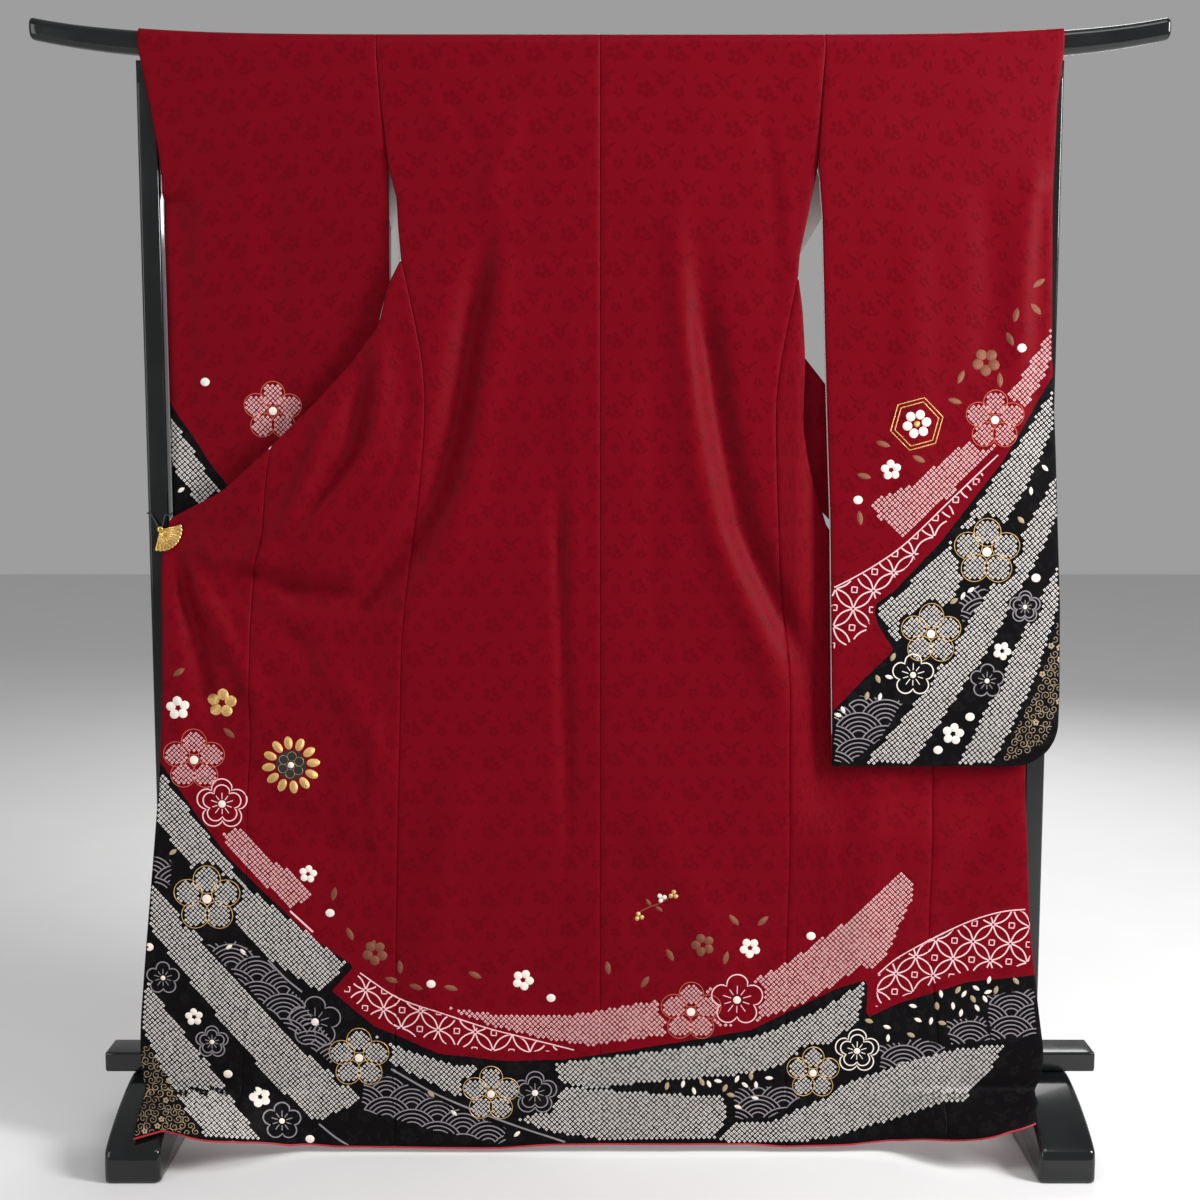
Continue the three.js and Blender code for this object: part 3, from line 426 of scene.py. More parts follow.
V_SIDE = np.concatenate([[0, 0.0018, 0.0045], np.linspace(0.0085, 0.997, 164), [1]])
SEAM_DIP = 1.2                   # how far a sewn edge sinks in
SHOULDER_ROWS = np.linspace(1640, 1481, 21)
OVER_COLLAR = dict(lift=CLOTH_T + 0.9, thick=1.2)
ROLL = dict(deep=1.5, high=1.7, below=1.9, sides=8)
LINING_Z = 640                   # the red hem lining starts below the white body lining here


def seam_dip(grid_y):
    grid_y[:, 0] += SEAM_DIP
    grid_y[:, -1] += SEAM_DIP
    return grid_y


def to_points(x, y, z):
    return np.stack(np.broadcast_arrays(x, y, z), -1).astype(float)


def with_bar_run(side, x, z, outer, inner):
    """Both faces of a cloth and its chart, with the run over the bar put before the first row."""
    bar, rise = over_bar(side), bar_rise(x[0])
    over = [to_points(x[0], y + ny * CLOTH_T, q + nz * CLOTH_T + rise) for y, q, ny, nz in bar]
    under = [to_points(x[0], y, q + rise) for y, q, ny, nz in bar]
    extra = len(bar)
    chart = np.stack([np.vstack([x[:1]] * extra + [x]),
                      np.vstack([z[:1] + 10 * (extra - k) for k in range(extra)] + [z])], -1)
    return np.concatenate([over, outer]), np.concatenate([under, inner]), chart


def hung_panel(name, left, right, top, bottom, width, turned, weave_shift):
    u = edged(STEP, width)
    grid = between(EDGES[left], EDGES[right], EDGES[top][::-1] if turned else EDGES[top], EDGES[bottom],
                   V_SIDE, u)
    x, z = grid[..., 0], grid[..., 1]
    plain = body_y(x, z)
    turned_edge = CLOTH_T / 2 * np.exp(-((z - z[:1]) / 4) ** 2)
    outer = to_points(x, seam_dip(plain.copy()) + turned_edge, z)
    inner = to_points(x, plain + CLOTH_T - turned_edge * 0.9, z)
    return shell(name, outer, inner, grid, [SILK, BODY_LINING], weave_shift, BLACK_BODY)


def back_panel(name, armhole, opened, side, hem, sign, weave_shift):
    top = np.stack([x_at(EDGES[armhole], SHOULDER_ROWS), SHOULDER_ROWS], -1)
    mid = along(EDGES[opened], np.linspace(0, 1, 18)[1:])
    low = rounded(EDGES[side], V_SIDE[1:])
    edge = np.concatenate([top, mid, low])
    end_z, centre_end = edge[-1, 1], EDGES["centre"][-1][1]
    v = ((HANG["top"] - edge[:, 1]) / (HANG["top"] - end_z))[:, None]
    u = edged(STEP, 310)[None]
    hem_z = rounded(EDGES[hem], u[0] if sign < 0 else 1 - u[0])[:, 1][None]
    centre_z = HANG["top"] - v * (HANG["top"] - centre_end)
    flat_z = edge[:, 1:] + u * (centre_z - edge[:, 1:])
    flat_hem = end_z + u * (centre_end - end_z)
    x = edge[:, :1] * (1 - u)
    z = flat_z + v ** 6 * (hem_z - flat_hem)
    if sign > 0:
        x, z = x[:, ::-1], z[:, ::-1]
    raised = raised_to_bar(x, z)
    plain = body_y(x, z)
    outer, inner, chart = with_bar_run(-1, x, z, to_points(x, seam_dip(plain.copy()), raised),
                                       to_points(x, plain + CLOTH_T, raised))
    return shell(name, outer, inner, chart, [SILK, BODY_LINING], weave_shift, BLACK_BODY)


def sleeve_layer(name, which, side, weave_shift):
    s = SLEEVES[which]
    sign = s["sign"]
    line = s["outer"] if side < 0 else s["outer_rear"]
    z = np.concatenate([SHOULDER_ROWS, np.linspace(1474, 672, 98),
                        np.linspace(666, 600, 14), [597, 594.5, SLEEVE_BOTTOM]])
    rise = np.clip(SLEEVE_BOTTOM + SLEEVE_CORNER - z, 0, None)
    cut = SLEEVE_CORNER - np.sqrt(np.clip(SLEEVE_CORNER ** 2 - rise ** 2, 0, None))
    a = x_at(s["inner"], z)
    b = x_at(line, z) - sign * cut
    u = edged(STEP, 340)[None]
    x = a[:, None] + (b - a)[:, None] * u
    zz = z[:, None] + 0 * x
    y = sleeve_y(which, x, zz, side)
    raised = raised_to_bar(x, zz)
    dipped = y.copy()
    dipped[:, 0] -= side * 1.0
    dipped[:, -1] -= side * 1.0
    outer, inner, chart = with_bar_run(side, x, zz, to_points(x, dipped, raised),
                                       to_points(x, y - side * CLOTH_T, raised))
    return shell(name, outer, inner, chart, [SILK, BODY_LINING], weave_shift, BLACK_SLEEVE[which])


def upper_front(name, rows, weave_shift):
    r = np.array([q[:4] for q in rows], float)
    steps = np.concatenate([[0], np.cumsum(np.hypot(np.diff(r[:, 0]), np.diff(r[:, 1])))])
    t = np.linspace(0, steps[-1], int(steps[-1] / STEP))
    line = np.stack([np.interp(t, steps, r[:, k]) for k in range(4)], -1)
    u = edged(12, 240)[None]
    a = line[:, :1]
    x = a + u * (line[:, 2:3] - a)
    z = line[:, 1:2] + u * (line[:, 3:] - line[:, 1:2])
    raised = raised_to_bar(x, z)
    wave = 0.5 * ripple(x + 90, z) * calm_at_top(z)
    face = table(REAR_FACE, z) + wave
    outer, inner, chart = with_bar_run(1, x, z, to_points(x, face + CLOTH_T, raised),
                                       to_points(x, face, raised))
    return shell(name, outer, inner, chart, [SILK, BODY_LINING], weave_shift)


def collar_strip(line, spans, lift=0.0):
    """Grids of a band laid off square to its upper edge; spans are shares of its width."""
    r = np.array(line, float)
    steps = np.concatenate([[0], np.cumsum(np.hypot(np.diff(r[:, 0]), np.diff(r[:, 1])))])
    t = np.linspace(0, steps[-1], int(steps[-1] / STEP))
    p = np.stack([np.interp(t, steps, r[:, k]) for k in range(3)], -1)
    gaze = np.gradient(p[:, :2], axis=0)
    kernel = np.ones(5) / 5
    gaze = np.stack([np.convolve(np.pad(g, 2, mode="edge"), kernel, "valid") for g in gaze.T], -1)
    normal = np.stack([gaze[:, 1], -gaze[:, 0]], -1) / np.hypot(gaze[:, 0], gaze[:, 1])[:, None]
    normal = np.where(normal[:, 1:] > 0, -normal, normal)
    normal[0] = (0, -1)
    reach = p[:, 2:] * np.asarray(spans)[None]
    x = p[:, :1] + normal[:, :1] * reach
    z = p[:, 1:2] + normal[:, 1:] * reach
    y = table(REAR_FACE, z) + lift
    return x, y, z


def collar_piece(name, line, weave_shift):
    spans = np.array([0, 0.05, 0.2, 0.4, 0.6, 0.8, 0.95, 1])
    x, y, z = collar_strip(line, spans)
    belly = 0.8 * np.sin(np.pi * spans)[None]
    outer = to_points(x, y + CLOTH_T + belly, z)
    inner = to_points(x, y, z)
    return shell(name, outer, inner, np.stack([x, z], -1), [SILK, SILK], weave_shift)


def over_collar(name):
    parts = []
    for line, flip in ((COLLAR_LEFT[1:9], True), (COLLAR_RIGHT[1:9], False)):
        x, y, z = collar_strip(line, np.linspace(0.06, 0.94, 7), OVER_COLLAR["lift"])
        order = slice(None, None, -1) if flip else slice(None)
        parts.append((x[order], y[order], z[order]))
    x, y, z = (np.concatenate([parts[0][k], parts[1][k]]) for k in range(3))
    return shell(name, to_points(x, y + OVER_COLLAR["thick"], z), to_points(x, y, z),
                 np.stack([x, z], -1), [SILK, SILK], (0.4, 0.1))


def hem_roll(name):
    """The lining's rolled edge, a little below every panel's hem."""
    lines = [rounded(EDGES[k], np.linspace(0, 1, n)) for k, n in
             (("hem_okumi_left", 20), ("hem_front_left", 30), ("hem_back_left", 40), ("hem_back_right", 40),
              ("hem_front_right", 30), ("hem_okumi_right", 20))]
    p = np.concatenate([q[(1 if i else 0):] for i, q in enumerate(lines)])
    turn = np.radians(np.linspace(0, 360, ROLL["sides"] + 1)[:-1])
    y0 = body_y(p[:, 0], p[:, 1]) + CLOTH_T / 2
    ring_y = y0[:, None] + ROLL["deep"] * np.cos(turn)[None]
    ring_z = p[:, 1:2] - ROLL["below"] + ROLL["high"] * np.sin(turn)[None]
    pts = to_points(p[:, :1], ring_y, ring_z)
    n, k = pts.shape[:2]
    at = np.arange(n * k).reshape(n, k)
    nxt = np.roll(at, -1, axis=1)
    quads = np.stack([at[:-1], nxt[:-1], nxt[1:], at[1:]], -1).reshape(-1, 4)
    caps = [[0, j + 1, j] for j in range(1, k - 1)]
    caps += [[at[-1, 0], at[-1, j], at[-1, j + 1]] for j in range(1, k - 1)]
    obj = make_mesh(name, pts.reshape(-1, 3), quads, caps)
    bake_map(obj.data, n, k)
    obj.data.materials.append(HEM_LINING)
    return obj


def bake_map(mesh, n, k):
    """A map for the bake of a loft of n rings of k points: rings run across, one strip for each side."""
    down, across = np.meshgrid(np.linspace(0.01, 0.97, n), np.linspace(0.01, 0.97, k), indexing="ij")
    values = np.stack([down, across], -1).reshape(-1, 2)
    spare = len(mesh.vertices) - len(values)
    corner_layer(mesh, "OFBake", np.concatenate([values, np.full((spare, 2), 0.99)]))


def loft(name, rings, material):
    """A closed body through rings of points, its ends closed by fans."""
    n, k = rings.shape[:2]
    at = np.arange(n * k).reshape(n, k)
    nxt = np.roll(at, -1, axis=1)
    quads = np.stack([at[:-1], nxt[:-1], nxt[1:], at[1:]], -1).reshape(-1, 4)
    verts = np.concatenate([rings.reshape(-1, 3), rings[0].mean(0)[None], rings[-1].mean(0)[None]])
    caps = [[n * k, nxt[0, j], at[0, j]] for j in range(k)]
    caps += [[n * k + 1, at[-1, j], nxt[-1, j]] for j in range(k)]
    if not facing_out(verts, quads):
        quads = quads[:, ::-1]
        caps = [t[::-1] for t in caps]
    obj = make_mesh(name, verts, quads, caps)
    bake_map(obj.data, n, k)
    obj.data.materials.append(material)
    return obj


def rounded_rect(width, height, corner, steps=7):
    """Outline of a rectangle with round corners, about the middle."""
    points = []
    for quarter, (sx, sy) in enumerate(((1, 1), (-1, 1), (-1, -1), (1, -1))):
        for a in np.linspace(quarter * 90, quarter * 90 + 90, steps):
            points.append((sx * (width / 2 - corner) + corner * math.cos(math.radians(a)),
                           sy * (height / 2 - corner) + corner * math.sin(math.radians(a))))
    return np.array(points)


def eased_run(start, end, ease, inner=()):
    """Stations from end to end, each with how far the section draws in there."""
    turn = np.radians(np.linspace(0, 90, 5))
    first = [(start + ease * (1 - math.cos(t)), ease * (1 - math.sin(t))) for t in turn]
    last = [(end - ease * (1 - math.cos(t)), ease * (1 - math.sin(t))) for t in turn[::-1]]
    return first + [(s, 0.0) for s in inner] + last


# ---------------------------------------------------------------- places seen in the view

VIEW = dict(lens=1762.0, tilt=math.radians(6.4), back=2660.0, high=1135.0, middle=600)


def spot(pixels, surface):
    """Places (x, z) of a surface that show at these pixels of a frame 1200 pixels wide and high."""
    p = np.atleast_2d(np.array(pixels, float))[:, :2]
    s, c = math.sin(VIEW["tilt"]), math.cos(VIEW["tilt"])
    k = (VIEW["middle"] - p[:, 1]) / VIEW["lens"]
    y = np.full(len(p), -40.0)
    for _ in range(14):
        drop = (y + VIEW["back"]) * (k * c - s) / (c + k * s)
        x = (p[:, 0] - VIEW["middle"]) * ((y + VIEW["back"]) * c - drop * s) / VIEW["lens"]
        z = VIEW["high"] + drop
        y = y + 0.5 * (surface(x, z) - y)
    return np.stack([x, z], -1)


def body_face(x, z):
    return body_y(x, z, False)


def sleeve_face(which):
    return lambda x, z: sleeve_y(which, x, z, -1, False)


def black_depth(points, outline):
    """How far inside an outline each point lies, in millimetres, negative outside it."""
    p = np.asarray(points, float)
    if not len(outline):
        return np.full(len(p), -100.0)
    best, inside = np.full(len(p), 1e9), np.zeros(len(p), bool)
    for a, b in zip(outline, np.roll(outline, -1, 0)):
        way = b - a
        share = np.clip((p - a) @ way / max(way @ way, 1e-9), 0, 1)
        best = np.minimum(best, np.hypot(*(p - a - share[:, None] * way).T))
        if a[1] != b[1]:
            crosses = (a[1] > p[:, 1]) != (b[1] > p[:, 1])
            inside ^= crosses & (p[:, 0] < a[0] + (p[:, 1] - a[1]) * way[0] / way[1])
    return np.where(inside, best, -best)


# Pixels of the line where the black ground starts, then round outside the cloth.
BLACK_BODY = spot([(100, 690), (164, 767), (197, 815), (229, 858), (268, 896), (316, 941), (354, 966),
                   (332, 991), (374, 1026), (441, 1054), (507, 1061), (561, 1060), (679, 1042),
                   (751, 1030), (836, 989), (868, 979), (867, 1003), (866, 1019), (899, 1003), (968, 982),
                   (1034, 975), (1120, 960), (1120, 1300), (60, 1300)], body_face)
BLACK_SLEEVE = dict(
    left=spot([(140, 350), (161, 384), (171, 404), (191, 433), (212, 466), (226, 483), (300, 590),
               (400, 720), (400, 900), (100, 900)], sleeve_face("left")),
    right=spot([(1080, 330), (1054, 374), (1003, 461), (940, 543), (894, 591), (877, 603), (874, 612),
                (879, 627), (894, 650), (861, 682), (833, 711), (780, 750), (780, 900), (1150, 900),
                (1150, 330)], sleeve_face("right")))


# ---------------------------------------------------------------- materials

def material(name):
    made = bpy.data.materials.new(name)
    made.use_nodes = True
    made.node_tree.nodes.clear()
    return made, made.node_tree


def put(tree, socket, value):
    if isinstance(value, bpy.types.NodeSocket):
        tree.links.new(value, socket)
    else:
        socket.default_value = value


def node(tree, kind, inputs=None, **settings):
    made = tree.nodes.new("ShaderNode" + kind)
    for key, value in settings.items():
        setattr(made, key, value)
    for key, value in (inputs or {}).items():
        put(tree, made.inputs[key], value)
    return made


def calc(tree, how, *values):
    made = node(tree, "Math", operation=how)
    for socket, value in zip(made.inputs, values):
        put(tree, socket, value)
    return made.outputs[0]


def ease(tree, value, low, high, to_low=0.0, to_high=1.0):
    made = node(tree, "MapRange", {"Value": value, "From Min": low, "From Max": high, "To Min": to_low,
                                   "To Max": to_high}, interpolation_type="SMOOTHSTEP")
    return made.outputs[0]


def mixed(tree, share, a, b):
    return node(tree, "Mix", {0: share, 6: a, 7: b}, data_type="RGBA").outputs[2]


def noise(tree, scale, detail=2.0, where=None):
    made = node(tree, "TexNoise", {"Scale": scale, "Detail": detail})
    if where is not None:
        tree.links.new(where, made.inputs["Vector"])
    return made.outputs["Fac"]


def bump(tree, height, distance, strength=1.0, after=None):
    made = node(tree, "Bump", {"Height": height, "Distance": distance, "Strength": strength})
    if after is not None:
        tree.links.new(after, made.inputs["Normal"])
    return made.outputs[0]


def surface(tree, **inputs):
    """The shader and the output; a number or colour is set on the shader's own socket."""
    shader = node(tree, "BsdfPrincipled", {key.replace("_", " "): value for key, value in inputs.items()})
    out = node(tree, "OutputMaterial")
    tree.links.new(shader.outputs[0], out.inputs[0])


def in_place(tree):
    return node(tree, "TexCoord").outputs["Object"]


def on_cloth(tree, layer):
    parts = node(tree, "SeparateXYZ", {0: node(tree, "UVMap", uv_map=layer).outputs[0]})
    return parts.outputs[0], parts.outputs[1]


def attribute(tree, name):
    return node(tree, "Attribute", attribute_name=name).outputs["Fac"]


REPEAT = (0.078, 0.052)          # one repeat of the woven figure, metres
FRET = dict(pitch=0.0034, block=0.0068)
FIGURE = [(0.019, 0.017, 0.0125, 5, 0.2), (0.043, 0.030, 0.0100, 5, 1.1), (0.063, 0.013, 0.0085, 5, 0.7)]
LEAVES = [(0.031, 0.010, 0.6, 0.0075), (0.033, 0.040, -0.7, 0.0070), (0.054, 0.041, 0.5, 0.0070),
          (0.070, 0.032, -1.0, 0.0065), (0.008, 0.036, 1.1, 0.0065)]


def woven_flower(tree, u, v, x, y, radius, petals, turn):
    du, dv = calc(tree, "SUBTRACT", u, x), calc(tree, "SUBTRACT", v, y)
    square = calc(tree, "ADD", calc(tree, "MULTIPLY", du, du), calc(tree, "MULTIPLY", dv, dv))
    reach = calc(tree, "SQRT", square)
    swing = calc(tree, "MULTIPLY_ADD", calc(tree, "ARCTAN2", dv, du), petals / 2, turn)
    lobes = calc(tree, "ABSOLUTE", calc(tree, "COSINE", swing))
    rim = calc(tree, "MULTIPLY_ADD", lobes, radius * 0.42, radius * 0.58)
    inside = ease(tree, calc(tree, "SUBTRACT", rim, reach), -0.0006, 0.0006)
    parted = ease(tree, lobes, 0.10, 0.30)
    hollow = ease(tree, reach, radius * 0.16, radius * 0.24)
    return calc(tree, "MULTIPLY", calc(tree, "MULTIPLY", inside, parted), hollow)


def woven_leaf(tree, u, v, x, y, turn, length):
    du, dv = calc(tree, "SUBTRACT", u, x), calc(tree, "SUBTRACT", v, y)
    c, s = math.cos(turn), math.sin(turn)
    a = calc(tree, "MULTIPLY_ADD", du, c, calc(tree, "MULTIPLY", dv, s))
    b = calc(tree, "MULTIPLY_ADD", dv, c, calc(tree, "MULTIPLY", du, -s))
    fall = calc(tree, "ADD", calc(tree, "ABSOLUTE", calc(tree, "DIVIDE", a, length)),
                calc(tree, "POWER", calc(tree, "ABSOLUTE", calc(tree, "DIVIDE", b, length * 0.40)), 1.6))
    return ease(tree, fall, 1.05, 0.9)


def damask(tree):
    """Shares of woven figure and of woven fret on the cloth's own lengths."""
    u, v = on_cloth(tree, "weave")
    row = calc(tree, "FLOOR", calc(tree, "DIVIDE", v, REPEAT[1]))
    shifted = calc(tree, "MULTIPLY_ADD", row, REPEAT[0] / 2, u)
    cu = calc(tree, "WRAP", shifted, REPEAT[0], 0.0)
    cv = calc(tree, "WRAP", v, REPEAT[1], 0.0)
    figure = None
    for place in FIGURE:
        part = woven_flower(tree, cu, cv, *place)
        figure = part if figure is None else calc(tree, "MAXIMUM", figure, part)
    for place in LEAVES:
        figure = calc(tree, "MAXIMUM", figure, woven_leaf(tree, cu, cv, *place))
    lines = []
    for slope in (0.5, -0.5):
        run = calc(tree, "DIVIDE", calc(tree, "MULTIPLY_ADD", v, slope * 2, u), FRET["pitch"])
        lines.append(ease(tree, calc(tree, "PINGPONG", run, 0.5), 0.18, 0.32))
    cell = calc(tree, "ADD", calc(tree, "FLOOR", calc(tree, "DIVIDE", u, FRET["block"])),
                calc(tree, "FLOOR", calc(tree, "DIVIDE", v, FRET["block"])))
    odd = calc(tree, "PINGPONG", cell, 1.0)
    fret = calc(tree, "ADD", calc(tree, "MULTIPLY", lines[0], odd),
                calc(tree, "MULTIPLY", lines[1], calc(tree, "SUBTRACT", 1.0, odd)))
    return figure, fret


RED = (0.178, 0.0014, 0.0076, 1)
RED_FRET = (0.138, 0.0010, 0.0056, 1)
RED_FIGURE = (0.128, 0.0009, 0.0050, 1)
BLACK = (0.0042, 0.0036, 0.0042, 1)
BLACK_FIGURE = (0.0085, 0.0078, 0.0084, 1)
WHITE_LINING = (0.66, 0.64, 0.61, 1)
RED_LINING = (0.36, 0.008, 0.020, 1)


def silk():
    made, tree = material("figured_silk")
    figure, fret = damask(tree)
    cloud = noise(tree, 7.0, 3.0, in_place(tree))
    red = mixed(tree, calc(tree, "MULTIPLY", fret, 0.8), RED, RED_FRET)
    red = mixed(tree, calc(tree, "MULTIPLY", figure, 0.85), red, RED_FIGURE)
    red = mixed(tree, ease(tree, cloud, 0.42, 0.75, 0.0, 0.25), red, RED_FRET)
    dark = mixed(tree, calc(tree, "MULTIPLY", figure, 0.7), BLACK, BLACK_FIGURE)
    wobble = calc(tree, "MULTIPLY_ADD", noise(tree, 260.0, 2.0, in_place(tree)), 3.0, -1.5)
    inked = ease(tree, calc(tree, "ADD", attribute(tree, "black"), wobble), -0.6, 0.6)
    u, v = on_cloth(tree, "weave")
    ribs = calc(tree, "ADD", calc(tree, "SINE", calc(tree, "MULTIPLY", u, 5200.0)),
                calc(tree, "SINE", calc(tree, "MULTIPLY", v, 4300.0)))
    relief = calc(tree, "ADD", calc(tree, "MULTIPLY", figure, 1.0), calc(tree, "MULTIPLY", fret, 0.45))
    shine = ease(tree, relief, 0.0, 1.4, 0.50, 0.40)
    height = calc(tree, "MULTIPLY_ADD", ribs, 0.10, relief)
    surface(tree, Base_Color=mixed(tree, inked, red, dark), Roughness=shine, Specular_IOR_Level=0.04,
            Sheen_Weight=0.01, Sheen_Roughness=0.4, Sheen_Tint=(0.8, 0.12, 0.16, 1),
            Normal=bump(tree, height, 0.00016, 0.8))
    return made


def lining():
    made, tree = material("body_lining")
    place = in_place(tree)
    low = ease(tree, attribute(tree, "height"), LINING_Z - 1.2, LINING_Z + 1.2)
    cloud = noise(tree, 9.0, 3.0, place)
    white = mixed(tree, ease(tree, cloud, 0.35, 0.8), WHITE_LINING, (0.58, 0.56, 0.53, 1))
    red = mixed(tree, ease(tree, cloud, 0.35, 0.8), RED_LINING, (0.29, 0.006, 0.015, 1))
    u, v = on_cloth(tree, "weave")
    ribs = calc(tree, "ADD", calc(tree, "SINE", calc(tree, "MULTIPLY", u, 4600.0)),
                calc(tree, "SINE", calc(tree, "MULTIPLY", v, 4600.0)))
    surface(tree, Base_Color=mixed(tree, low, red, white), Roughness=0.55, Specular_IOR_Level=0.3,
            Sheen_Weight=0.15, Normal=bump(tree, ribs, 0.00008, 0.6))
    return made


def plain_silk(name, light, dark, roughness=0.5, grain=900.0):
    made, tree = material(name)
    place = in_place(tree)
    grainy = noise(tree, grain, 3.0, place)
    surface(tree, Base_Color=mixed(tree, ease(tree, grainy, 0.3, 0.7), dark, light), Roughness=roughness,
            Specular_IOR_Level=0.35, Sheen_Weight=0.2, Normal=bump(tree, grainy, 0.0002, 0.7))
    return made


def metal_thread(name, light, dark, metallic, roughness):
    made, tree = material(name)
    place = in_place(tree)
    strands = node(tree, "TexWave", {"Vector": place, "Scale": 420.0, "Distortion": 3.0, "Detail": 2.0},
                   bands_direction="DIAGONAL").outputs["Fac"]
    rub = noise(tree, 60.0, 2.0, place)
    rubbed = ease(tree, calc(tree, "ADD", strands, rub), 0.5, 1.4)
    surface(tree, Base_Color=mixed(tree, rubbed, dark, light), Metallic=metallic, Roughness=roughness,
            Normal=bump(tree, strands, 0.00025, 0.8))
    return made


def lacquer():
    made, tree = material("black_lacquer")
    place = in_place(tree)
    swell = noise(tree, 14.0, 2.0, place)
    dust = noise(tree, 900.0, 2.0, place)
    rough = ease(tree, calc(tree, "MULTIPLY_ADD", dust, 0.4, swell), 0.4, 1.1, 0.10, 0.20)
    surface(tree, Base_Color=mixed(tree, ease(tree, swell, 0.3, 0.7), (0.0035, 0.0042, 0.0045, 1),
                                   (0.0060, 0.0070, 0.0075, 1)),
            Roughness=rough, Coat_Weight=0.3, Coat_Roughness=0.05, Specular_IOR_Level=0.35,
            Normal=bump(tree, swell, 0.0006, 0.25))
    return made


def gilt():
    made, tree = material("gilt_metal")
    place = in_place(tree)
    wear = noise(tree, 90.0, 4.0, place)
    brushed = noise(tree, 700.0, 2.0, place)
    gold = mixed(tree, ease(tree, wear, 0.35, 0.7), (0.78, 0.50, 0.17, 1), (0.60, 0.35, 0.10, 1))
    surface(tree, Base_Color=gold, Metallic=1.0, Roughness=ease(tree, brushed, 0.3, 0.7, 0.20, 0.34),
            Normal=bump(tree, brushed, 0.0001, 0.4))
    return made


def braided_cord():
    made, tree = material("braided_cord")
    place = in_place(tree)
    braid = node(tree, "TexWave", {"Vector": place, "Scale": 380.0, "Distortion": 1.5},
                 bands_direction="DIAGONAL").outputs["Fac"]
    surface(tree, Base_Color=mixed(tree, braid, (0.006, 0.006, 0.007, 1), (0.020, 0.020, 0.022, 1)),
            Roughness=0.7, Sheen_Weight=0.2, Normal=bump(tree, braid, 0.0003, 0.9))
    return made


def floor_finish():
    made, tree = material("studio_floor")
    grain = noise(tree, 5.0, 4.0, in_place(tree))
    surface(tree, Base_Color=mixed(tree, grain, (0.72, 0.72, 0.72, 1), (0.76, 0.76, 0.76, 1)),
            Roughness=0.8)
    return made


SILK = silk()
BODY_LINING = lining()
HEM_LINING = plain_silk("hem_lining", (0.50, 0.012, 0.030, 1), (0.38, 0.008, 0.020, 1))
LACQUER, GILT, CORD = lacquer(), gilt(), braided_cord()


# ---------------------------------------------------------------- stand and clips

FIT_GAP = 0.4
BAR_END = dict(start=0.8, shrink=0.1)
POST = dict(x=664, size=30, corner=4)
RAIL = dict(half=766, depth=60, bottom=FOOT["tip"] + FOOT["rise"] + FIT_GAP, height=31, corner=4)
FOOT_X, FOOT_WIDTH = 684, 82
BAR_RINGS, RAIL_RINGS = np.linspace(-822, 822, 110), np.linspace(-750, 750, 60)
PIVOT = [(0.0, 4.4), (-1.8, 4.6), (-2.6, 4.3), (-3.1, 3.2), (-3.3, 1.6)]   # depth off the cloth, radius
FAN = dict(radius=33, hub=4, turn=2.38, spread=2.1, ribs=11, thick=2.2, pleat=1.1)
CLIPS = dict(left=(-658, 946, -1), right=(647, 850, 1))
CORD_R = 1.1
CORD_LOOP = dict(points=18, power=0.26, above=22, pitch=4, parting=0.5)


def top_bar():
    section = rounded_rect(BAR["depth"], BAR["height"], BAR["corner"])
    rings = []
    for x, inset in eased_run(-BAR["half"], BAR["half"], 5, BAR_RINGS):
        taper = BAR_END["shrink"] * smooth(BAR_END["start"], 1, abs(x) / BAR["half"])
        size = (1 - taper) * (1 - inset / 15)
        z = BAR["bottom"] + BAR["height"] / 2 + bar_rise(x)
        rings.append(to_points(x, section[:, 0] * size, z + section[:, 1] * size))
    return loft("top_bar_lacquered", np.array(rings), LACQUER)


def post(side, sign):
    section = rounded_rect(POST["size"], POST["size"], POST["corner"])
    low, high = RAIL["bottom"] + RAIL["height"] + FIT_GAP, BAR["bottom"] - FIT_GAP
    rings = [to_points(sign * POST["x"] + section[:, 0], section[:, 1], z)
             for z in np.linspace(low, high, 40)]
    return loft(f"post_{side}_lacquered", np.array(rings), LACQUER)


def rail():
    section = rounded_rect(RAIL["depth"], RAIL["height"], RAIL["corner"])
    middle = RAIL["bottom"] + RAIL["height"] / 2
    rings = [to_points(x, section[:, 0] * (1 - inset / 30), middle + section[:, 1] * (1 - inset / 14.5))
             for x, inset in eased_run(-RAIL["half"], RAIL["half"], 3, RAIL_RINGS)]
    return loft("rail_lacquered", np.array(rings), LACQUER)


def foot(side, sign):
    turn = np.radians(np.linspace(0, 90, 24))
    reach = FOOT["half"] - FOOT["crest"]
    y = FOOT["crest"] + reach * np.clip(np.cos(turn), 0, 1) ** FOOT["curve"]
    z = FOOT["tip"] + FOOT["rise"] * np.sin(turn) ** FOOT["curve"]
    under = np.linspace(-FOOT["half"] + 3, FOOT["half"] - 3, 24)
    ys = np.concatenate([under, FOOT["half"] - np.array([1, 0, 0, 0]), y[2:]])
    zs = np.concatenate([np.zeros(24), [1, 6, 18, 30], z[2:]])
    ys = np.concatenate([ys, -y[2:][::-1], -FOOT["half"] + np.array([0, 0, 0, 1])])
    zs = np.concatenate([zs, z[2:][::-1], [30, 18, 6, 1]])
    middle = sign * FOOT_X
    crest = FOOT["tip"] + FOOT["rise"]
    rings = [to_points(x, ys * (1 - inset / FOOT["half"]), zs * (1 - 1.3 * inset / crest) + 0.3 * inset)
             for x, inset in eased_run(middle - FOOT_WIDTH / 2, middle + FOOT_WIDTH / 2, 8,
                                       middle + np.linspace(-30, 30, 7))]
    return loft(f"foot_{side}_lacquered", np.array(rings), LACQUER)


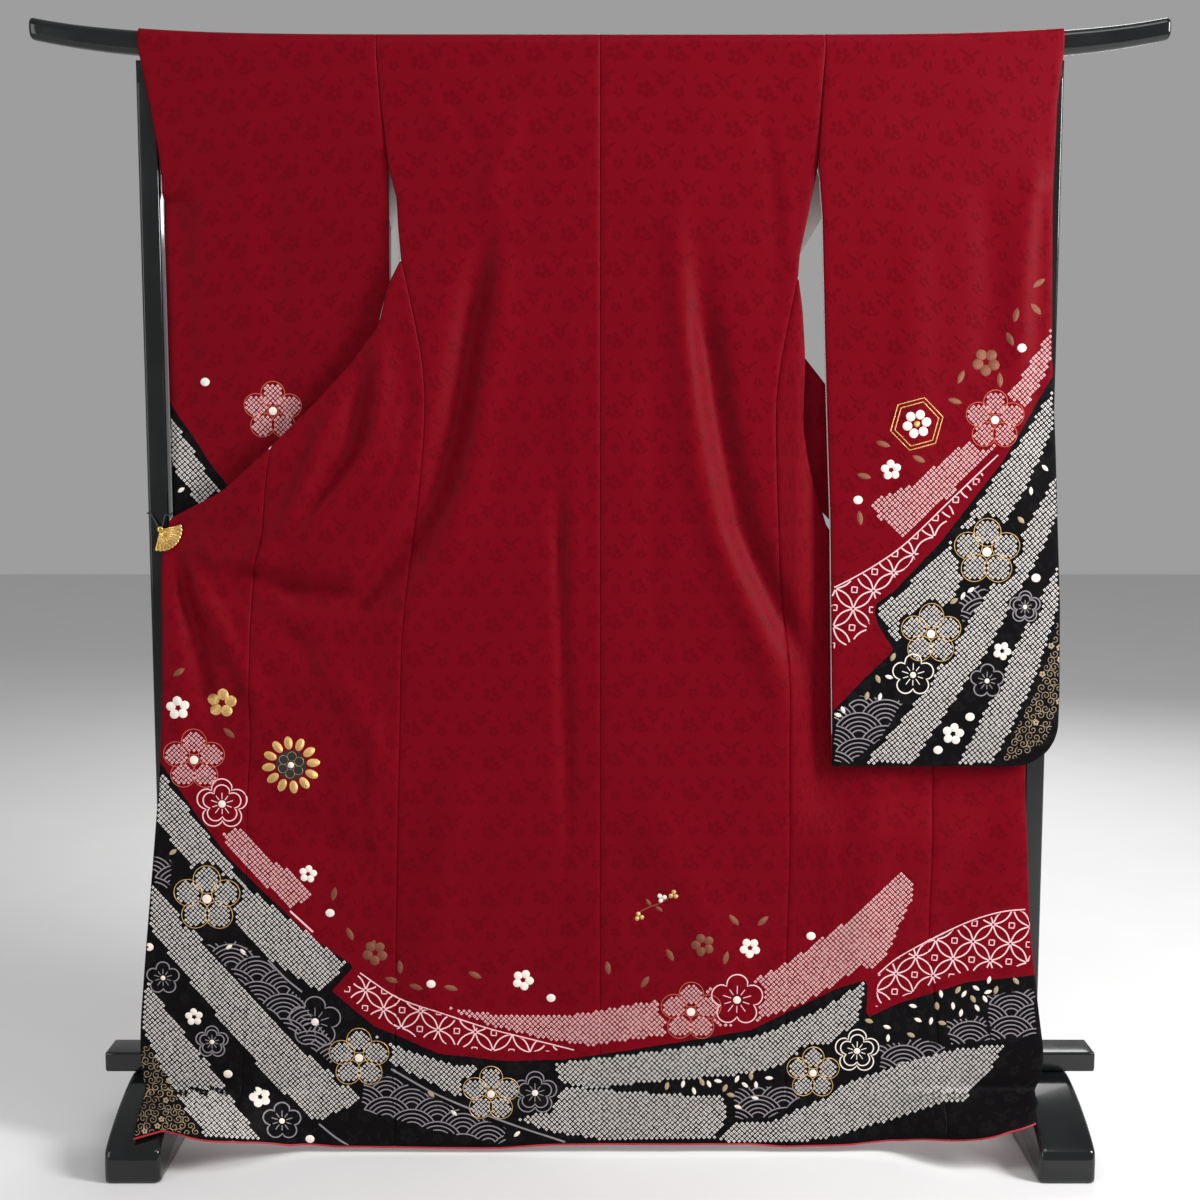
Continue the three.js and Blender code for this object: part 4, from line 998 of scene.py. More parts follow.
def fan_points(side):
    """Front face of the ribbed fan: rows of points from the hub to the scalloped rim."""
    x0, z0, sign = CLIPS[side]
    steps = FAN["ribs"] * 8
    share = np.linspace(0, 1, steps + 1)
    angle = -sign * (FAN["turn"] + FAN["spread"] * (share - 0.5))
    ridge = np.abs(np.sin(np.pi * FAN["ribs"] * share))
    radii = np.array([FAN["hub"], 8, 12, 17, 17.6, 22, 27, 31, FAN["radius"]])
    deep = np.array([0.3, 0.4, 0.5, 0.6, 0.9, 1, 1, 1, 0.9])
    scallop = 1 - 0.035 * (1 - ridge)[None] * (radii[:, None] > 26)
    r = radii[:, None] * scallop
    x = x0 + r * np.sin(angle)[None]
    z = z0 + r * np.cos(angle)[None]
    pleat = FAN["pleat"] * ridge[None] ** 0.8 * deep[:, None]
    return x, z, pleat


def fan_face(side):
    x0, z0, sign = CLIPS[side]
    angle = -sign * (FAN["turn"] + FAN["spread"] * np.linspace(-0.5, 0.5, 2 * FAN["ribs"] + 1))
    r = np.array([FAN["hub"], 18, FAN["radius"]])[:, None]
    return body_y(x0 + r * np.sin(angle), z0 + r * np.cos(angle), False).min() - FIT_GAP


def fan_clip(side):
    x, z, pleat = fan_points(side)
    face = fan_face(side)
    outer = to_points(x, face - 1.4 - pleat, z)
    inner = to_points(x, face - 0.2 - pleat * 0.6, z)
    obj, _ = double_face(f"fan_clip_{side}", outer, inner)
    obj.data.materials.append(GILT)
    return obj


def fan_pivot(side):
    x0, z0, _ = CLIPS[side]
    face = fan_face(side)
    turn = np.radians(np.linspace(0, 360, 25)[:-1])
    rings = [to_points(x0 + r * np.cos(turn), face + y, z0 + r * np.sin(turn)) for y, r in PIVOT]
    return loft(f"fan_pivot_{side}", np.array(rings), GILT)


def catmull(points, per):
    p = np.array(points, float)
    p = np.concatenate([[2 * p[0] - p[1]], p, [2 * p[-1] - p[-2]]])
    t = np.linspace(0, 1, per + 1)[:-1, None]
    runs = [0.5 * (2 * b + (c - a) * t + (2 * a - 5 * b + 4 * c - d) * t ** 2
                   + (3 * b - a - 3 * c + d) * t ** 3)
            for a, b, c, d in zip(p, p[1:], p[2:], p[3:])]
    return np.concatenate(runs + [p[-2][None]])


def tube(name, path, radius, sides, finish):
    """A round body along a path, its section carried without twist."""
    gaze = np.gradient(path, axis=0)
    gaze /= np.linalg.norm(gaze, axis=1)[:, None]
    side = np.cross(gaze[0], (0, 0, 1.0))
    turn = np.radians(np.linspace(0, 360, sides + 1)[:-1])
    rings = []
    for here, ahead in zip(path, gaze):
        side = side - ahead * (side @ ahead)
        side /= np.linalg.norm(side)
        up = np.cross(ahead, side)
        rings.append(here + radius * (np.cos(turn)[:, None] * side + np.sin(turn)[:, None] * up))
    return loft(name, np.array(rings), finish)


def clip_cord(side):
    x0, z0, sign = CLIPS[side]
    half = POST["size"] / 2 + CORD_R + 2 * FIT_GAP
    count, parting = CORD_LOOP["points"], CORD_LOOP["parting"]
    share = (np.arange(count) + parting) / (count - 1 + 2 * parting)
    a = (share - 0.25) * math.pi * 2
    bend = [half * np.sign(q) * np.abs(q) ** CORD_LOOP["power"] for q in (np.cos(a), np.sin(a))]
    z = z0 + CORD_LOOP["above"] + CORD_LOOP["pitch"] * (share - 0.5)
    pivot_y = body_y(x0, z0, False) - CORD_R - FAN["thick"]
    route = [(x0 + CORD_LOOP["pitch"] / 2, pivot_y, z0), *zip(sign * POST["x"] + bend[0], bend[1], z),
             (x0 - CORD_LOOP["pitch"] / 2, pivot_y, z0)]
    return tube(f"clip_cord_{side}", catmull(route, 6), CORD_R, 10, CORD)


# ---------------------------------------------------------------- assembly

def worn(piece, node_name):
    """Puts a piece on the body in place of its solid."""
    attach(piece, "root")
    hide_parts(node_name)
    return piece


# Left, right, upper and lower edge, width in millimetres, whether the upper edge is listed the other way,
# place in the weave, then the cut that shows: width, length and area in metres.
HUNG = {
    "front_left": ("okumi_left", "side_left", "fold_left", "hem_front_left", 250, True,
                   (0.30, 0.02), 0.26, 1.35, 0.30),
    "okumi_left": ("free_left", "okumi_left", "fold_okumi_left", "hem_okumi_left", 150, True,
                   (0.62, 0.30), 0.17, 1.05, 0.15),
    "front_right": ("side_right", "okumi_right", "fold_right", "hem_front_right", 230, False,
                    (0.10, 0.05), 0.25, 1.33, 0.26),
    "okumi_right": ("okumi_right", "free_right", "fold_okumi_right", "hem_okumi_right", 140, False,
                    (0.35, 0.52), 0.16, 0.85, 0.11),
}
BACK = dict(left=-1, right=1)
# Side, line of the front, line of the collar, then metres: length and area of the front, width of the collar.
UPPER = [("left", UPPER_LEFT, COLLAR_LEFT, 0.68, 0.068, 0.055),
         ("right", UPPER_RIGHT, COLLAR_RIGHT, 0.46, 0.063, 0.08)]


def body_pieces():
    made = []
    for side, sign in BACK.items():
        piece = back_panel(f"back_{side}_cloth", f"armhole_{side}", f"open_{side}", f"side_{side}",
                           f"hem_back_{side}", sign, (0.0 if sign < 0 else 0.35, 0.0))
        made.append(worn(piece, f"back_{side}"))
    for name, (left, right, top, bottom, width, turned, shift, w, length, area) in HUNG.items():
        piece = hung_panel(f"{name}_cloth", left, right, top, bottom, width, turned, shift)
        made.append(worn(piece, name))
    return made


def upper_pieces():
    made = []
    for side, rows, neck, length, area, collar_width in UPPER:
        piece = upper_front(f"front_{side}_upper_cloth", rows, (0.12, 0.4))
        made.append(worn(piece, f"front_{side}_upper"))
        piece = collar_piece(f"collar_{side}_cloth", neck, (0.2, 0.1))
        made.append(worn(piece, f"collar_{side}"))
    piece = over_collar("over_collar_cloth")
    made.append(worn(piece, "over_collar"))
    return made


def sleeve_pieces(which):
    made = []
    for side, word in ((-1, "back"), (1, "front")):
        piece = sleeve_layer(f"sleeve_{which}_{word}_cloth", which, side, (0.05 * side + 0.2, 0.01))
        made.append(worn(piece, f"sleeve_{which}_{word}"))
    return made


body_cloth = body_pieces()
upper_pieces()
sleeve_cloth = dict(left=sleeve_pieces("left"), right=sleeve_pieces("right"))
worn(hem_roll("hem_roll_cloth"), "hem_roll")
worn(top_bar(), "top_bar")
worn(rail(), "rail")
for side, sign in BACK.items():
    worn(post(side, sign), f"post_{side}")
    worn(foot(side, sign), f"foot_{side}")
    worn(fan_clip(side), f"clip_{side}")
    worn(fan_pivot(side), f"clip_{side}")
    worn(clip_cord(side), f"cord_{side}")


# ---------------------------------------------------------------- raised dye and needle work

KANOKO = dict(pitch=5.7, halves=(2.1, 1.5, 0.8), rises=(-0.25, 0.7, 0.05))
THREADS = dict(
    white=plain_silk("tied_white", (0.95, 0.91, 0.88, 1), (0.66, 0.61, 0.58, 1), 0.6, 1500.0),
    pink=plain_silk("tied_pink", (0.97, 0.68, 0.67, 1), (0.78, 0.40, 0.43, 1), 0.6, 1500.0),
    grey=plain_silk("grey_thread", (0.30, 0.27, 0.29, 1), (0.17, 0.15, 0.17, 1), 0.55, 1800.0),
    cream=plain_silk("cream_thread", (0.93, 0.84, 0.76, 1), (0.74, 0.66, 0.58, 1), 0.45, 1800.0),
    tan=plain_silk("tan_thread", (0.50, 0.38, 0.24, 1), (0.26, 0.18, 0.10, 1), 0.45, 1800.0),
    dark=plain_silk("dark_thread", (0.012, 0.011, 0.014, 1), (0.005, 0.005, 0.006, 1), 0.45, 1800.0),
    coral=plain_silk("coral_thread", (0.62, 0.15, 0.08, 1), (0.42, 0.07, 0.05, 1), 0.45, 1800.0),
    gold=metal_thread("gold_thread", (0.80, 0.52, 0.20, 1), (0.50, 0.28, 0.08, 1), 0.8, 0.36),
    bronze=metal_thread("bronze_thread", (0.24, 0.075, 0.034, 1), (0.13, 0.032, 0.014, 1), 0.4, 0.5))
CHANCE = np.random.default_rng(7)
NET = dict(pitch=40.0, turn=0.73, belly=0.17, line=3.0, square=0.14, square_line=2.4, rise=0.5)
WAVE = dict(radius=39.0, shares=(1.0, 0.83, 0.66, 0.49, 0.32), line=2.7, rise=0.5)
SCROLL = dict(pitch=13.0, start=1.2, growth=5.6, turns=8.2, line=1.3, rise=0.4, buds=0.14, bud=5.2)
LEAF = dict(bronze=(24, 9.5), tan=(15, 7.5), cream=(14, 6.5))   # length and width
DOT_R = 5                        # pixels


class Laid:
    """Raised work on one face of a cloth. Points are (x, z, rise) in millimetres.

    They are taken straight back to the cloth or, from a plane, along the line from the view's middle
    point. What misses the cloth is left out.
    """

    def __init__(self, name, tree, side, finish, plane=None):
        self.name, self.tree, self.side, self.finish, self.plane = name, tree, side, finish, plane
        self.points, self.quads, self.tris, self.count = [], [], [], 0

    def add(self, points, quads=(), tris=(), within=None):
        points = np.asarray(points, float).reshape(-1, 3)
        if within is not None:
            points = np.where((black_depth(points[:, :2], within) > 0)[:, None], points, np.nan)
        self.points.append(points)
        self.quads.append(np.asarray(quads, int).reshape(-1, 4) + self.count)
        self.tris.append(np.asarray(tris, int).reshape(-1, 3) + self.count)
        self.count += len(points)

    def make(self):
        p = np.concatenate(self.points)
        laid = np.full((len(p), 3), np.nan)
        start, way = Vector((0, -VIEW["back"] * MM, VIEW["high"] * MM)), Vector((0, -self.side, 0))
        for i in np.flatnonzero(~np.isnan(p[:, 0])):
            if self.plane is None:
                start = Vector((p[i, 0] * MM, self.side * 0.7, p[i, 1] * MM))
            else:
                way = (Vector((p[i, 0], self.plane, p[i, 1])) * MM - start).normalized()
            hit = self.tree.ray_cast(start, way)[0]
            if hit is not None:
                laid[i] = (hit.x / MM, hit.y / MM + self.side * p[i, 2], hit.z / MM)
        quads, tris = (np.concatenate(f) for f in (self.quads, self.tris))
        quads, tris = (f[~np.isnan(laid[f, 0]).any(1)] for f in (quads, tris))
        if self.side > 0:
            quads, tris = quads[:, ::-1], tris[:, ::-1]
        used = np.unique(np.concatenate([quads.ravel(), tris.ravel()]))
        if not len(used):
            return None
        fresh = np.zeros(len(p), int)
        fresh[used] = np.arange(len(used))
        obj = make_mesh(self.name, laid[used], fresh[quads], fresh[tris])
        low, high = p[used, :2].min(0), p[used, :2].max(0)
        corner_layer(obj.data, "OFBake", 0.005 + 0.99 * (p[used, :2] - low) / (high - low).max())
        obj.data.materials.append(self.finish)
        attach(obj, "root")
        return obj


def cloth_tree(objs):
    verts, faces = [], []
    for obj in objs:
        first = len(verts)
        verts += [v.co.copy() for v in obj.data.vertices]
        faces += [[first + i for i in q.vertices] for q in obj.data.polygons]
    return BVHTree.FromPolygons(verts, faces)


def ring_faces(n, first, second):
    """Quads between two rings of n points."""
    at = np.arange(n)
    nxt = (at + 1) % n
    return np.stack([first + at, first + nxt, second + nxt, second + at], -1)


def tied_dots(work, outline, turn=0.0, pitch=KANOKO["pitch"], skip=(), scale=1.0):
    """Tie-dyed dots: small raised square rings on a lattice inside an outline."""
    low, high = outline.min(0), outline.max(0)
    reach = np.hypot(*(high - low)) / 2 + pitch
    at = np.arange(-reach, reach, pitch)
    gx, gz = np.meshgrid(at, at, indexing="ij")
    c, s = math.cos(turn), math.sin(turn)
    p = (low + high) / 2 + np.stack([gx.ravel() * c - gz.ravel() * s, gx.ravel() * s + gz.ravel() * c], -1)
    p = p[(p > low).all(1) & (p < high).all(1)]
    p = p[black_depth(p, outline) > 1.0]
    for other in skip:
        p = p[black_depth(p, other) < -2.2]
    if not len(p):
        return
    p = p + CHANCE.normal(0, 0.16, p.shape)
    angle = turn + CHANCE.normal(0, 0.07, len(p))
    size = scale * CHANCE.uniform(0.9, 1.06, len(p))
    rings = []
    for half, rise in zip(KANOKO["halves"], KANOKO["rises"]):
        for k in range(4):
            a = angle + math.radians(45 + 90 * k)
            out = half * size * 1.414
            rings.append(np.stack([p[:, 0] + out * np.cos(a), p[:, 1] + out * np.sin(a),
                                   np.full(len(p), rise)], -1))
    points = np.stack(rings, 1)
    faces = np.concatenate([ring_faces(4, 0, 4), ring_faces(4, 4, 8)])
    work.add(points, (faces[None] + 12 * np.arange(len(p))[:, None, None]).reshape(-1, 4))


def ribbon(work, line, width, rise=0.45, closed=False, within=None):
    """A rounded raised line."""
    p = np.asarray(line, float)
    ahead = (np.roll(p, -1, 0) - np.roll(p, 1, 0)) if closed else np.gradient(p, axis=0)
    length = np.maximum(np.hypot(*ahead.T), 1e-6)[:, None]
    side = np.stack([-ahead[:, 1], ahead[:, 0]], -1) / length * width / 2
    n = len(p)
    points = np.concatenate([np.column_stack([q, np.full(n, r)])
                             for q, r in ((p + side, -0.2), (p, rise), (p - side, -0.2))])
    at = np.arange(n if closed else n - 1)
    nxt = (at + 1) % n
    quads = [np.stack([at + b, nxt + b, nxt + a, at + a], -1) for a, b in ((0, n), (n, 2 * n))]
    work.add(points, np.concatenate(quads), within=within)


def patch(work, outline, rise=0.7):
    """A filled, domed patch."""
    p = np.asarray(outline, float)
    n, middle = len(p), np.asarray(outline, float).mean(0)
    points = np.concatenate([np.column_stack([p, np.full(n, -0.2)]),
                             np.column_stack([middle + (p - middle) * 0.72, np.full(n, rise * 0.8)]),
                             [[*middle, rise]]])
    at = np.arange(n)
    work.add(points, ring_faces(n, 0, n), np.stack([n + at, n + (at + 1) % n, np.full(n, 2 * n)], -1))


def oval(x, z, a, b, turn=0.0, count=16):
    t = np.radians(np.linspace(0, 360, count + 1)[:-1])
    c, s = math.cos(turn), math.sin(turn)
    a, b = a * np.cos(t), b * np.sin(t)
    return np.stack([x + a * c - b * s, z + a * s + b * c], -1)


def leaf(x, z, length, width, turn):
    t = np.linspace(-1, 1, 7)
    side = width / 2 * (1 - t ** 2) ** 0.8
    upper, lower = (np.stack([t * length / 2, edge], -1) for edge in (side, -side))
    p = np.concatenate([upper, lower[-2:0:-1]])[::-1]
    c, s = math.cos(turn), math.sin(turn)
    return np.stack([x + p[:, 0] * c - p[:, 1] * s, z + p[:, 0] * s + p[:, 1] * c], -1)


def plum(x, z, radius, turn):
    """Outline of five round lobes."""
    a = np.radians(np.linspace(0, 360, 61)[:-1])
    r = radius * (0.60 + 0.40 * np.abs(np.cos(2.5 * (a - turn))) ** 0.55)
    return np.stack([x + r * np.cos(a), z + r * np.sin(a)], -1)


def petals(x, z, radius, turn, count=5, reach=0.58, size=0.40):
    return [oval(x + radius * reach * math.cos(a), z + radius * reach * math.sin(a), radius * size * 1.04,
                 radius * size, a, 20) for a in turn + np.radians(np.arange(count) * 360 / count)]


PX_MM = 1.48                     # millimetres in one pixel of the view, about the middle of the cloth
WORK_PLANE = -60.0               # the upright plane that the hem's work is laid out on


class Face:
    """One face of a cloth and the raised work on it, one piece for each thread."""

    def __init__(self, name, cloth, side, seen, plane=None, mirror=1):
        self.name, self.tree, self.side, self.seen, self.plane = name, cloth_tree(cloth), side, seen, plane
        self.mirror = mirror
        self.works = {}

    def at(self, pixels):
        if not len(pixels):
            return []
        return spot(pixels, self.seen) * (self.mirror, 1)

    def thread(self, colour):
        if colour not in self.works:
            self.works[colour] = Laid(f"{self.name}_{colour}", self.tree, self.side, THREADS[colour],
                                      self.plane)
        return self.works[colour]

    def tied_flower(self, px, py, radius, colour, turn=0.3, rim="gold"):
        (x, z), = self.at([(px, py)])
        r = radius * PX_MM
        for petal in petals(x, z, r, turn):
            ribbon(self.thread(rim), petal, 1.5, closed=True)
            inside = petal.mean(0) + (petal - petal.mean(0)) * 0.90
            tied_dots(self.thread(colour), inside, math.pi / 4, 5.2, scale=0.9)
        patch(self.thread("cream"), oval(x, z, r * 0.15, r * 0.15))

    def line_flower(self, px, py, radius, colour, turn, double):
        (x, z), = self.at([(px, py)])
        r = radius * PX_MM
        for share in (1.0, 0.76) if double else (1.0,):
            ribbon(self.thread(colour), plum(x, z, r * share, turn), 2.7, closed=True)
        for k in range(10):
            a = turn + math.radians(36 * k)
            reach = np.array([[0.24], [0.40], [0.56 if k % 2 == 0 else 0.50]]) * r * (0.8 if double else 1)
            ribbon(self.thread(colour), np.array([[x, z]]) + reach * (math.cos(a), math.sin(a)), 1.9)
        patch(self.thread("cream"), oval(x, z, r * 0.16, r * 0.16))

    def blossom(self, px, py, radius, colour, turn):
        (x, z), = self.at([(px, py)])
        r = radius * PX_MM
        for petal in petals(x, z, r, turn, 5, 0.56, 0.38):
            patch(self.thread(colour), petal, 0.9)

    def dot(self, px, py, radius):
        (x, z), = self.at([(px, py)])
        patch(self.thread("cream"), oval(x, z, radius * PX_MM, radius * PX_MM * 0.9), 1.0)

    def leaves(self, places, colour):
        for i, (x, z) in enumerate(self.at(places)):
            patch(self.thread(colour), leaf(x, z, *LEAF[colour], 0.6 + 2.4 * math.sin(i * 2.3)), 0.5)

    def petal_outlines(self, flowers):
        """Outlines that the tied bands keep clear of."""
        return [q.mean(0) + (q - q.mean(0)) * 1.12 for px, py, radius in flowers
                for q in petals(*self.at([(px, py)])[0], radius * PX_MM, 0.3)]

    def finish(self):
        return [work.make() for work in self.works.values()]


def net(face, outline, colour="pink"):
    """Linked rings: a lens along each side of a square lattice and a small square in each cell."""
    low, high = outline.min(0), outline.max(0)
    pitch, rise = NET["pitch"], NET["rise"]
    middle, reach = (low + high) / 2, int(np.hypot(*(high - low)) / pitch) + 2
    c, s = math.cos(NET["turn"]), math.sin(NET["turn"])
    work = face.thread(colour)

    def place(u, v):
        u, v = np.asarray(u, float) * pitch, np.asarray(v, float) * pitch
        return np.stack([middle[0] + u * c - v * s, middle[1] + u * s + v * c], -1)

    run = np.linspace(0.04, 0.96, 9)
    belly = NET["belly"] * np.sin(np.pi * run)
    for i in range(-reach, reach):
        for j in range(-reach, reach):
            centre = place(i + 0.5, j + 0.5)
            if black_depth([centre], outline)[0] < -pitch:
                continue
            for sign in (-1, 1):
                ribbon(work, place(i + run, j + sign * belly), NET["line"], rise, within=outline)
                ribbon(work, place(i + sign * belly, j + run), NET["line"], rise, within=outline)
            q = NET["square"]
            ring = 0.5 + np.array([(-q, 0), (0, -q), (q, 0), (0, q)])
            ring = np.concatenate([ring, ring[:1]])
            line = np.concatenate([a + (b - a) * np.linspace(0, 1, 4)[:-1, None]
                                   for a, b in zip(ring, ring[1:])])
            ribbon(work, place(i + line[:, 0], j + line[:, 1]), NET["square_line"], 0.45, True, outline)


def waves(face, outline, colour="grey"):
    """Overlapping scales of concentric arcs; each hides what lies behind the scales below it."""
    radius = WAVE["radius"]
    low, high = outline.min(0) - radius, outline.max(0) + radius
    work = face.thread(colour)
    t = np.radians(np.linspace(0, 180, 25))
    for row, z in enumerate(np.arange(low[1], high[1], radius / 2)):
        for x in np.arange(low[0] + (row % 2) * radius, high[0], 2 * radius):
            for share in WAVE["shares"]:
                arc = np.stack([x + radius * share * np.cos(t), z + radius * share * np.sin(t)], -1)
                if (black_depth(arc[::4], outline) < -2).all():
                    continue
                shown = np.ones(len(t), bool)
                for ox, oz in ((-radius, -radius / 2), (radius, -radius / 2), (0, -radius)):
                    shown &= np.hypot(arc[:, 0] - x - ox, arc[:, 1] - z - oz) > radius * 0.97
                if shown.sum() > 2:
                    ribbon(work, arc[shown], WAVE["line"], WAVE["rise"], within=outline)


def curls(face, outline, colour="tan"):
    """Close scrolls: small spirals that turn either way, with a bud among them here and there."""
    low, high = outline.min(0), outline.max(0)
    work, pitch = face.thread(colour), SCROLL["pitch"]
    t = np.linspace(0, 1, 13)
    for row, z in enumerate(np.arange(low[1], high[1], pitch * 0.8)):
        for x in np.arange(low[0] + (row % 2) * pitch / 2, high[0], pitch):
            hand = 1 if (row + int(x / pitch)) % 2 else -1
            start = CHANCE.uniform(0, 6.28)
            px, pz = x + CHANCE.normal(0, 0.8), z + CHANCE.normal(0, 0.8)
            if black_depth([(px, pz)], outline)[0] < 0:
                continue
            if CHANCE.uniform() < SCROLL["buds"]:
                for petal in petals(px, pz, SCROLL["bud"], start):
                    patch(work, petal[::2], 0.4)
                continue
            r = SCROLL["start"] + SCROLL["growth"] * t
            swing = start + hand * t * SCROLL["turns"]
            line = np.stack([px + r * np.cos(swing), pz + r * np.sin(swing)], -1)
            ribbon(work, line, SCROLL["line"], SCROLL["rise"], within=outline)


# Pixels of the view; each outline runs round its band.
BODY_BANDS = dict(
    white_rows=[
        [(160, 769), (178, 794), (221, 852), (246, 885), (305, 930), (348, 964), (319, 993), (297, 978),
         (268, 959), (237, 923), (187, 863), (156, 820)],
        [(151, 882), (184, 917), (227, 970), (264, 1011), (300, 1048), (345, 1083), (363, 1097),
         (348, 1108), (316, 1122), (302, 1110), (268, 1080), (243, 1046), (221, 1022), (174, 962),
         (150, 928)],
        [(146, 978), (170, 1013), (214, 1070), (240, 1109), (261, 1140), (206, 1137), (192, 1120),
         (158, 1064), (142, 1027)]],
    white_turned=[
        [(343, 1014), (384, 1041), (426, 1056), (460, 1065), (480, 1064), (459, 1098), (441, 1089),
         (393, 1065)],
        [(554, 1063), (620, 1055), (697, 1045), (760, 1035), (822, 1008), (863, 982), (866, 985),
         (858, 1023), (829, 1044), (801, 1048), (792, 1064), (742, 1075), (658, 1082), (594, 1089),
         (561, 1084)],
        [(563, 1086), (631, 1091), (697, 1095), (722, 1096), (728, 1108), (724, 1128), (713, 1140),
         (608, 1141), (552, 1133), (517, 1120), (552, 1107)],
        [(733, 1123), (769, 1122), (811, 1103), (850, 1081), (903, 1062), (953, 1049), (1006, 1043),
         (991, 1070), (963, 1102), (938, 1104), (892, 1120), (834, 1137), (804, 1142), (715, 1142)]],
    pink_rows=[
        [(221, 834), (241, 826), (268, 858), (292, 871), (315, 896), (288, 909), (273, 893), (251, 872),
         (227, 847)]],
    pink_turned=[
        [(436, 1005), (489, 1013), (563, 1016), (620, 1006), (665, 999), (756, 978), (790, 960),
         (813, 944), (863, 909), (901, 871), (913, 884), (912, 900), (894, 940), (884, 961), (869, 970),
         (863, 965), (833, 987), (804, 1003), (758, 1021), (697, 1032), (626, 1041), (591, 1046),
         (543, 1039), (493, 1027), (463, 1015)]],
    nets=[
        ([(360, 973), (398, 998), (441, 1013), (487, 1028), (530, 1039), (574, 1050), (522, 1053),
          (478, 1051), (419, 1039), (374, 1019), (341, 993)], 6),
        ([(878, 974), (896, 959), (926, 942), (968, 922), (1001, 912), (1030, 909), (1031, 966),
          (991, 969), (953, 976), (907, 995), (874, 1008)], 6)],
    waves=[
        [(152, 855), (173, 860), (170, 890), (152, 885)],
        [(205, 944), (236, 940), (270, 962), (300, 996), (332, 1040), (336, 1068), (300, 1040),
         (262, 1004), (225, 966)],
        [(361, 1080), (391, 1075), (440, 1100), (507, 1128), (507, 1146), (430, 1130), (361, 1110)],
        [(733, 1088), (800, 1084), (802, 1100), (770, 1118), (733, 1120)],
        [(878, 1045), (920, 1037), (947, 1046), (940, 1058), (895, 1068), (878, 1070)],
        [(945, 1020), (985, 1014), (991, 1040), (950, 1046)],
        [(986, 995), (1035, 988), (1037, 1036), (990, 1041)]],
    curls=[[(142, 1045), (151, 1046), (178, 1094), (200, 1134), (160, 1139), (132, 1139), (135, 1086)]],
    lines=[("grey", [(268, 960), (285, 978), (302, 992)]),
           ("grey", [(319, 1124), (335, 1137), (351, 1147)]),
           ("grey", [(391, 1069), (440, 1096), (505, 1122), (565, 1142)]),
           ("pink", [(290, 911), (313, 932)])])
SLEEVE_BANDS = dict(
    right=dict(
        white_rows=[
            [(1054, 386), (1027, 431), (995, 476), (954, 538), (923, 569), (901, 591), (878, 607),
             (879, 617), (897, 645), (940, 607), (954, 600), (963, 576), (1006, 524), (1021, 498),
             (1045, 450), (1054, 429)],
            [(1057, 471), (1040, 502), (1021, 534), (987, 593), (954, 641), (911, 708), (863, 764),
             (913, 764), (949, 710), (987, 653), (1020, 591), (1042, 552), (1059, 510)],
            [(1059, 562), (1038, 600), (1013, 650), (980, 720), (958, 764), (992, 764), (1011, 731),
             (1035, 679), (1049, 638), (1059, 607)]],
        pink_turned=[
            [(1054, 324), (1038, 348), (1013, 388), (968, 440), (941, 461), (911, 484), (873, 500),
             (869, 505), (878, 518), (904, 539), (908, 536), (923, 521), (954, 492), (989, 453),
             (1018, 423), (1035, 394), (1054, 357)]],
        nets=[([(831, 589), (851, 579), (877, 564), (906, 543), (951, 500), (998, 455), (979, 484),
                (944, 527), (915, 560), (877, 598), (868, 632), (833, 654)], 6)],
        waves=[[(833, 712), (860, 695), (905, 700), (880, 740), (850, 764), (833, 762)],
               [(958, 600), (975, 583), (989, 590), (980, 612), (962, 624)]],
        curls=[[(1059, 610), (1061, 706), (1046, 741), (1027, 755), (1001, 764), (1012, 735), (1040, 680),
                (1052, 640)]]),
    left=dict(white_rows=[[(162, 400), (184, 435), (207, 472), (221, 490), (199, 507), (181, 480),
                           (162, 450)]]))

# Middle and radius in pixels, then what the flower is.
BODY_FLOWERS = dict(
    tied=[(207, 899, 35, "white"), (359, 1058, 32, "white"), (491, 1094, 30, "white"),
          (813, 1073, 28, "white"), (691, 1012, 32, "pink"), (194, 760, 32, "pink")],
    line=[(315, 1022, 27, "grey"), (535, 1093, 23, "grey"), (163, 978, 17, "grey"),
          (212, 1042, 17, "grey"), (282, 1121, 20, "grey"), (857, 1051, 23, "cream"),
          (737, 1000, 27, "pink"), (222, 804, 26, "pink")],
    blossom=[(178, 708, 13), (308, 874, 10), (523, 980, 12), (750, 948, 11.5), (260, 1097, 12),
             (194, 1017, 10)],
    bronze=[(375, 953, 14), (703, 945, 13)],
    gold=[(222, 703, 16)],
    dots=[(205, 382), (330, 913), (431, 984), (551, 998), (811, 936), (228, 1074), (310, 1139),
          (149, 947)],
    leaves=[(179, 672), (229, 733), (334, 894), (350, 934), (372, 946), (400, 967), (392, 980),
            (416, 987), (475, 975), (451, 988), (608, 968), (645, 982), (670, 955), (726, 958),
            (734, 920), (763, 921)],
    pale=[(173, 852), (229, 947), (243, 952), (431, 1094), (454, 1113), (517, 1134), (667, 1086),
          (683, 1084), (694, 1091), (702, 1082), (709, 1084), (718, 1081), (725, 1088), (737, 1079),
          (745, 1085), (751, 1076), (756, 1085), (769, 1078), (731, 1095), (755, 1098), (738, 1107),
          (869, 1021), (887, 1027), (888, 1038), (911, 1035), (918, 1020), (931, 1021), (942, 1023),
          (913, 1006), (941, 994), (937, 1006), (953, 1006), (961, 1013), (958, 990), (964, 994),
          (976, 988), (973, 999), (985, 999), (988, 992), (996, 990), (989, 980), (977, 1008),
          (1016, 981)])
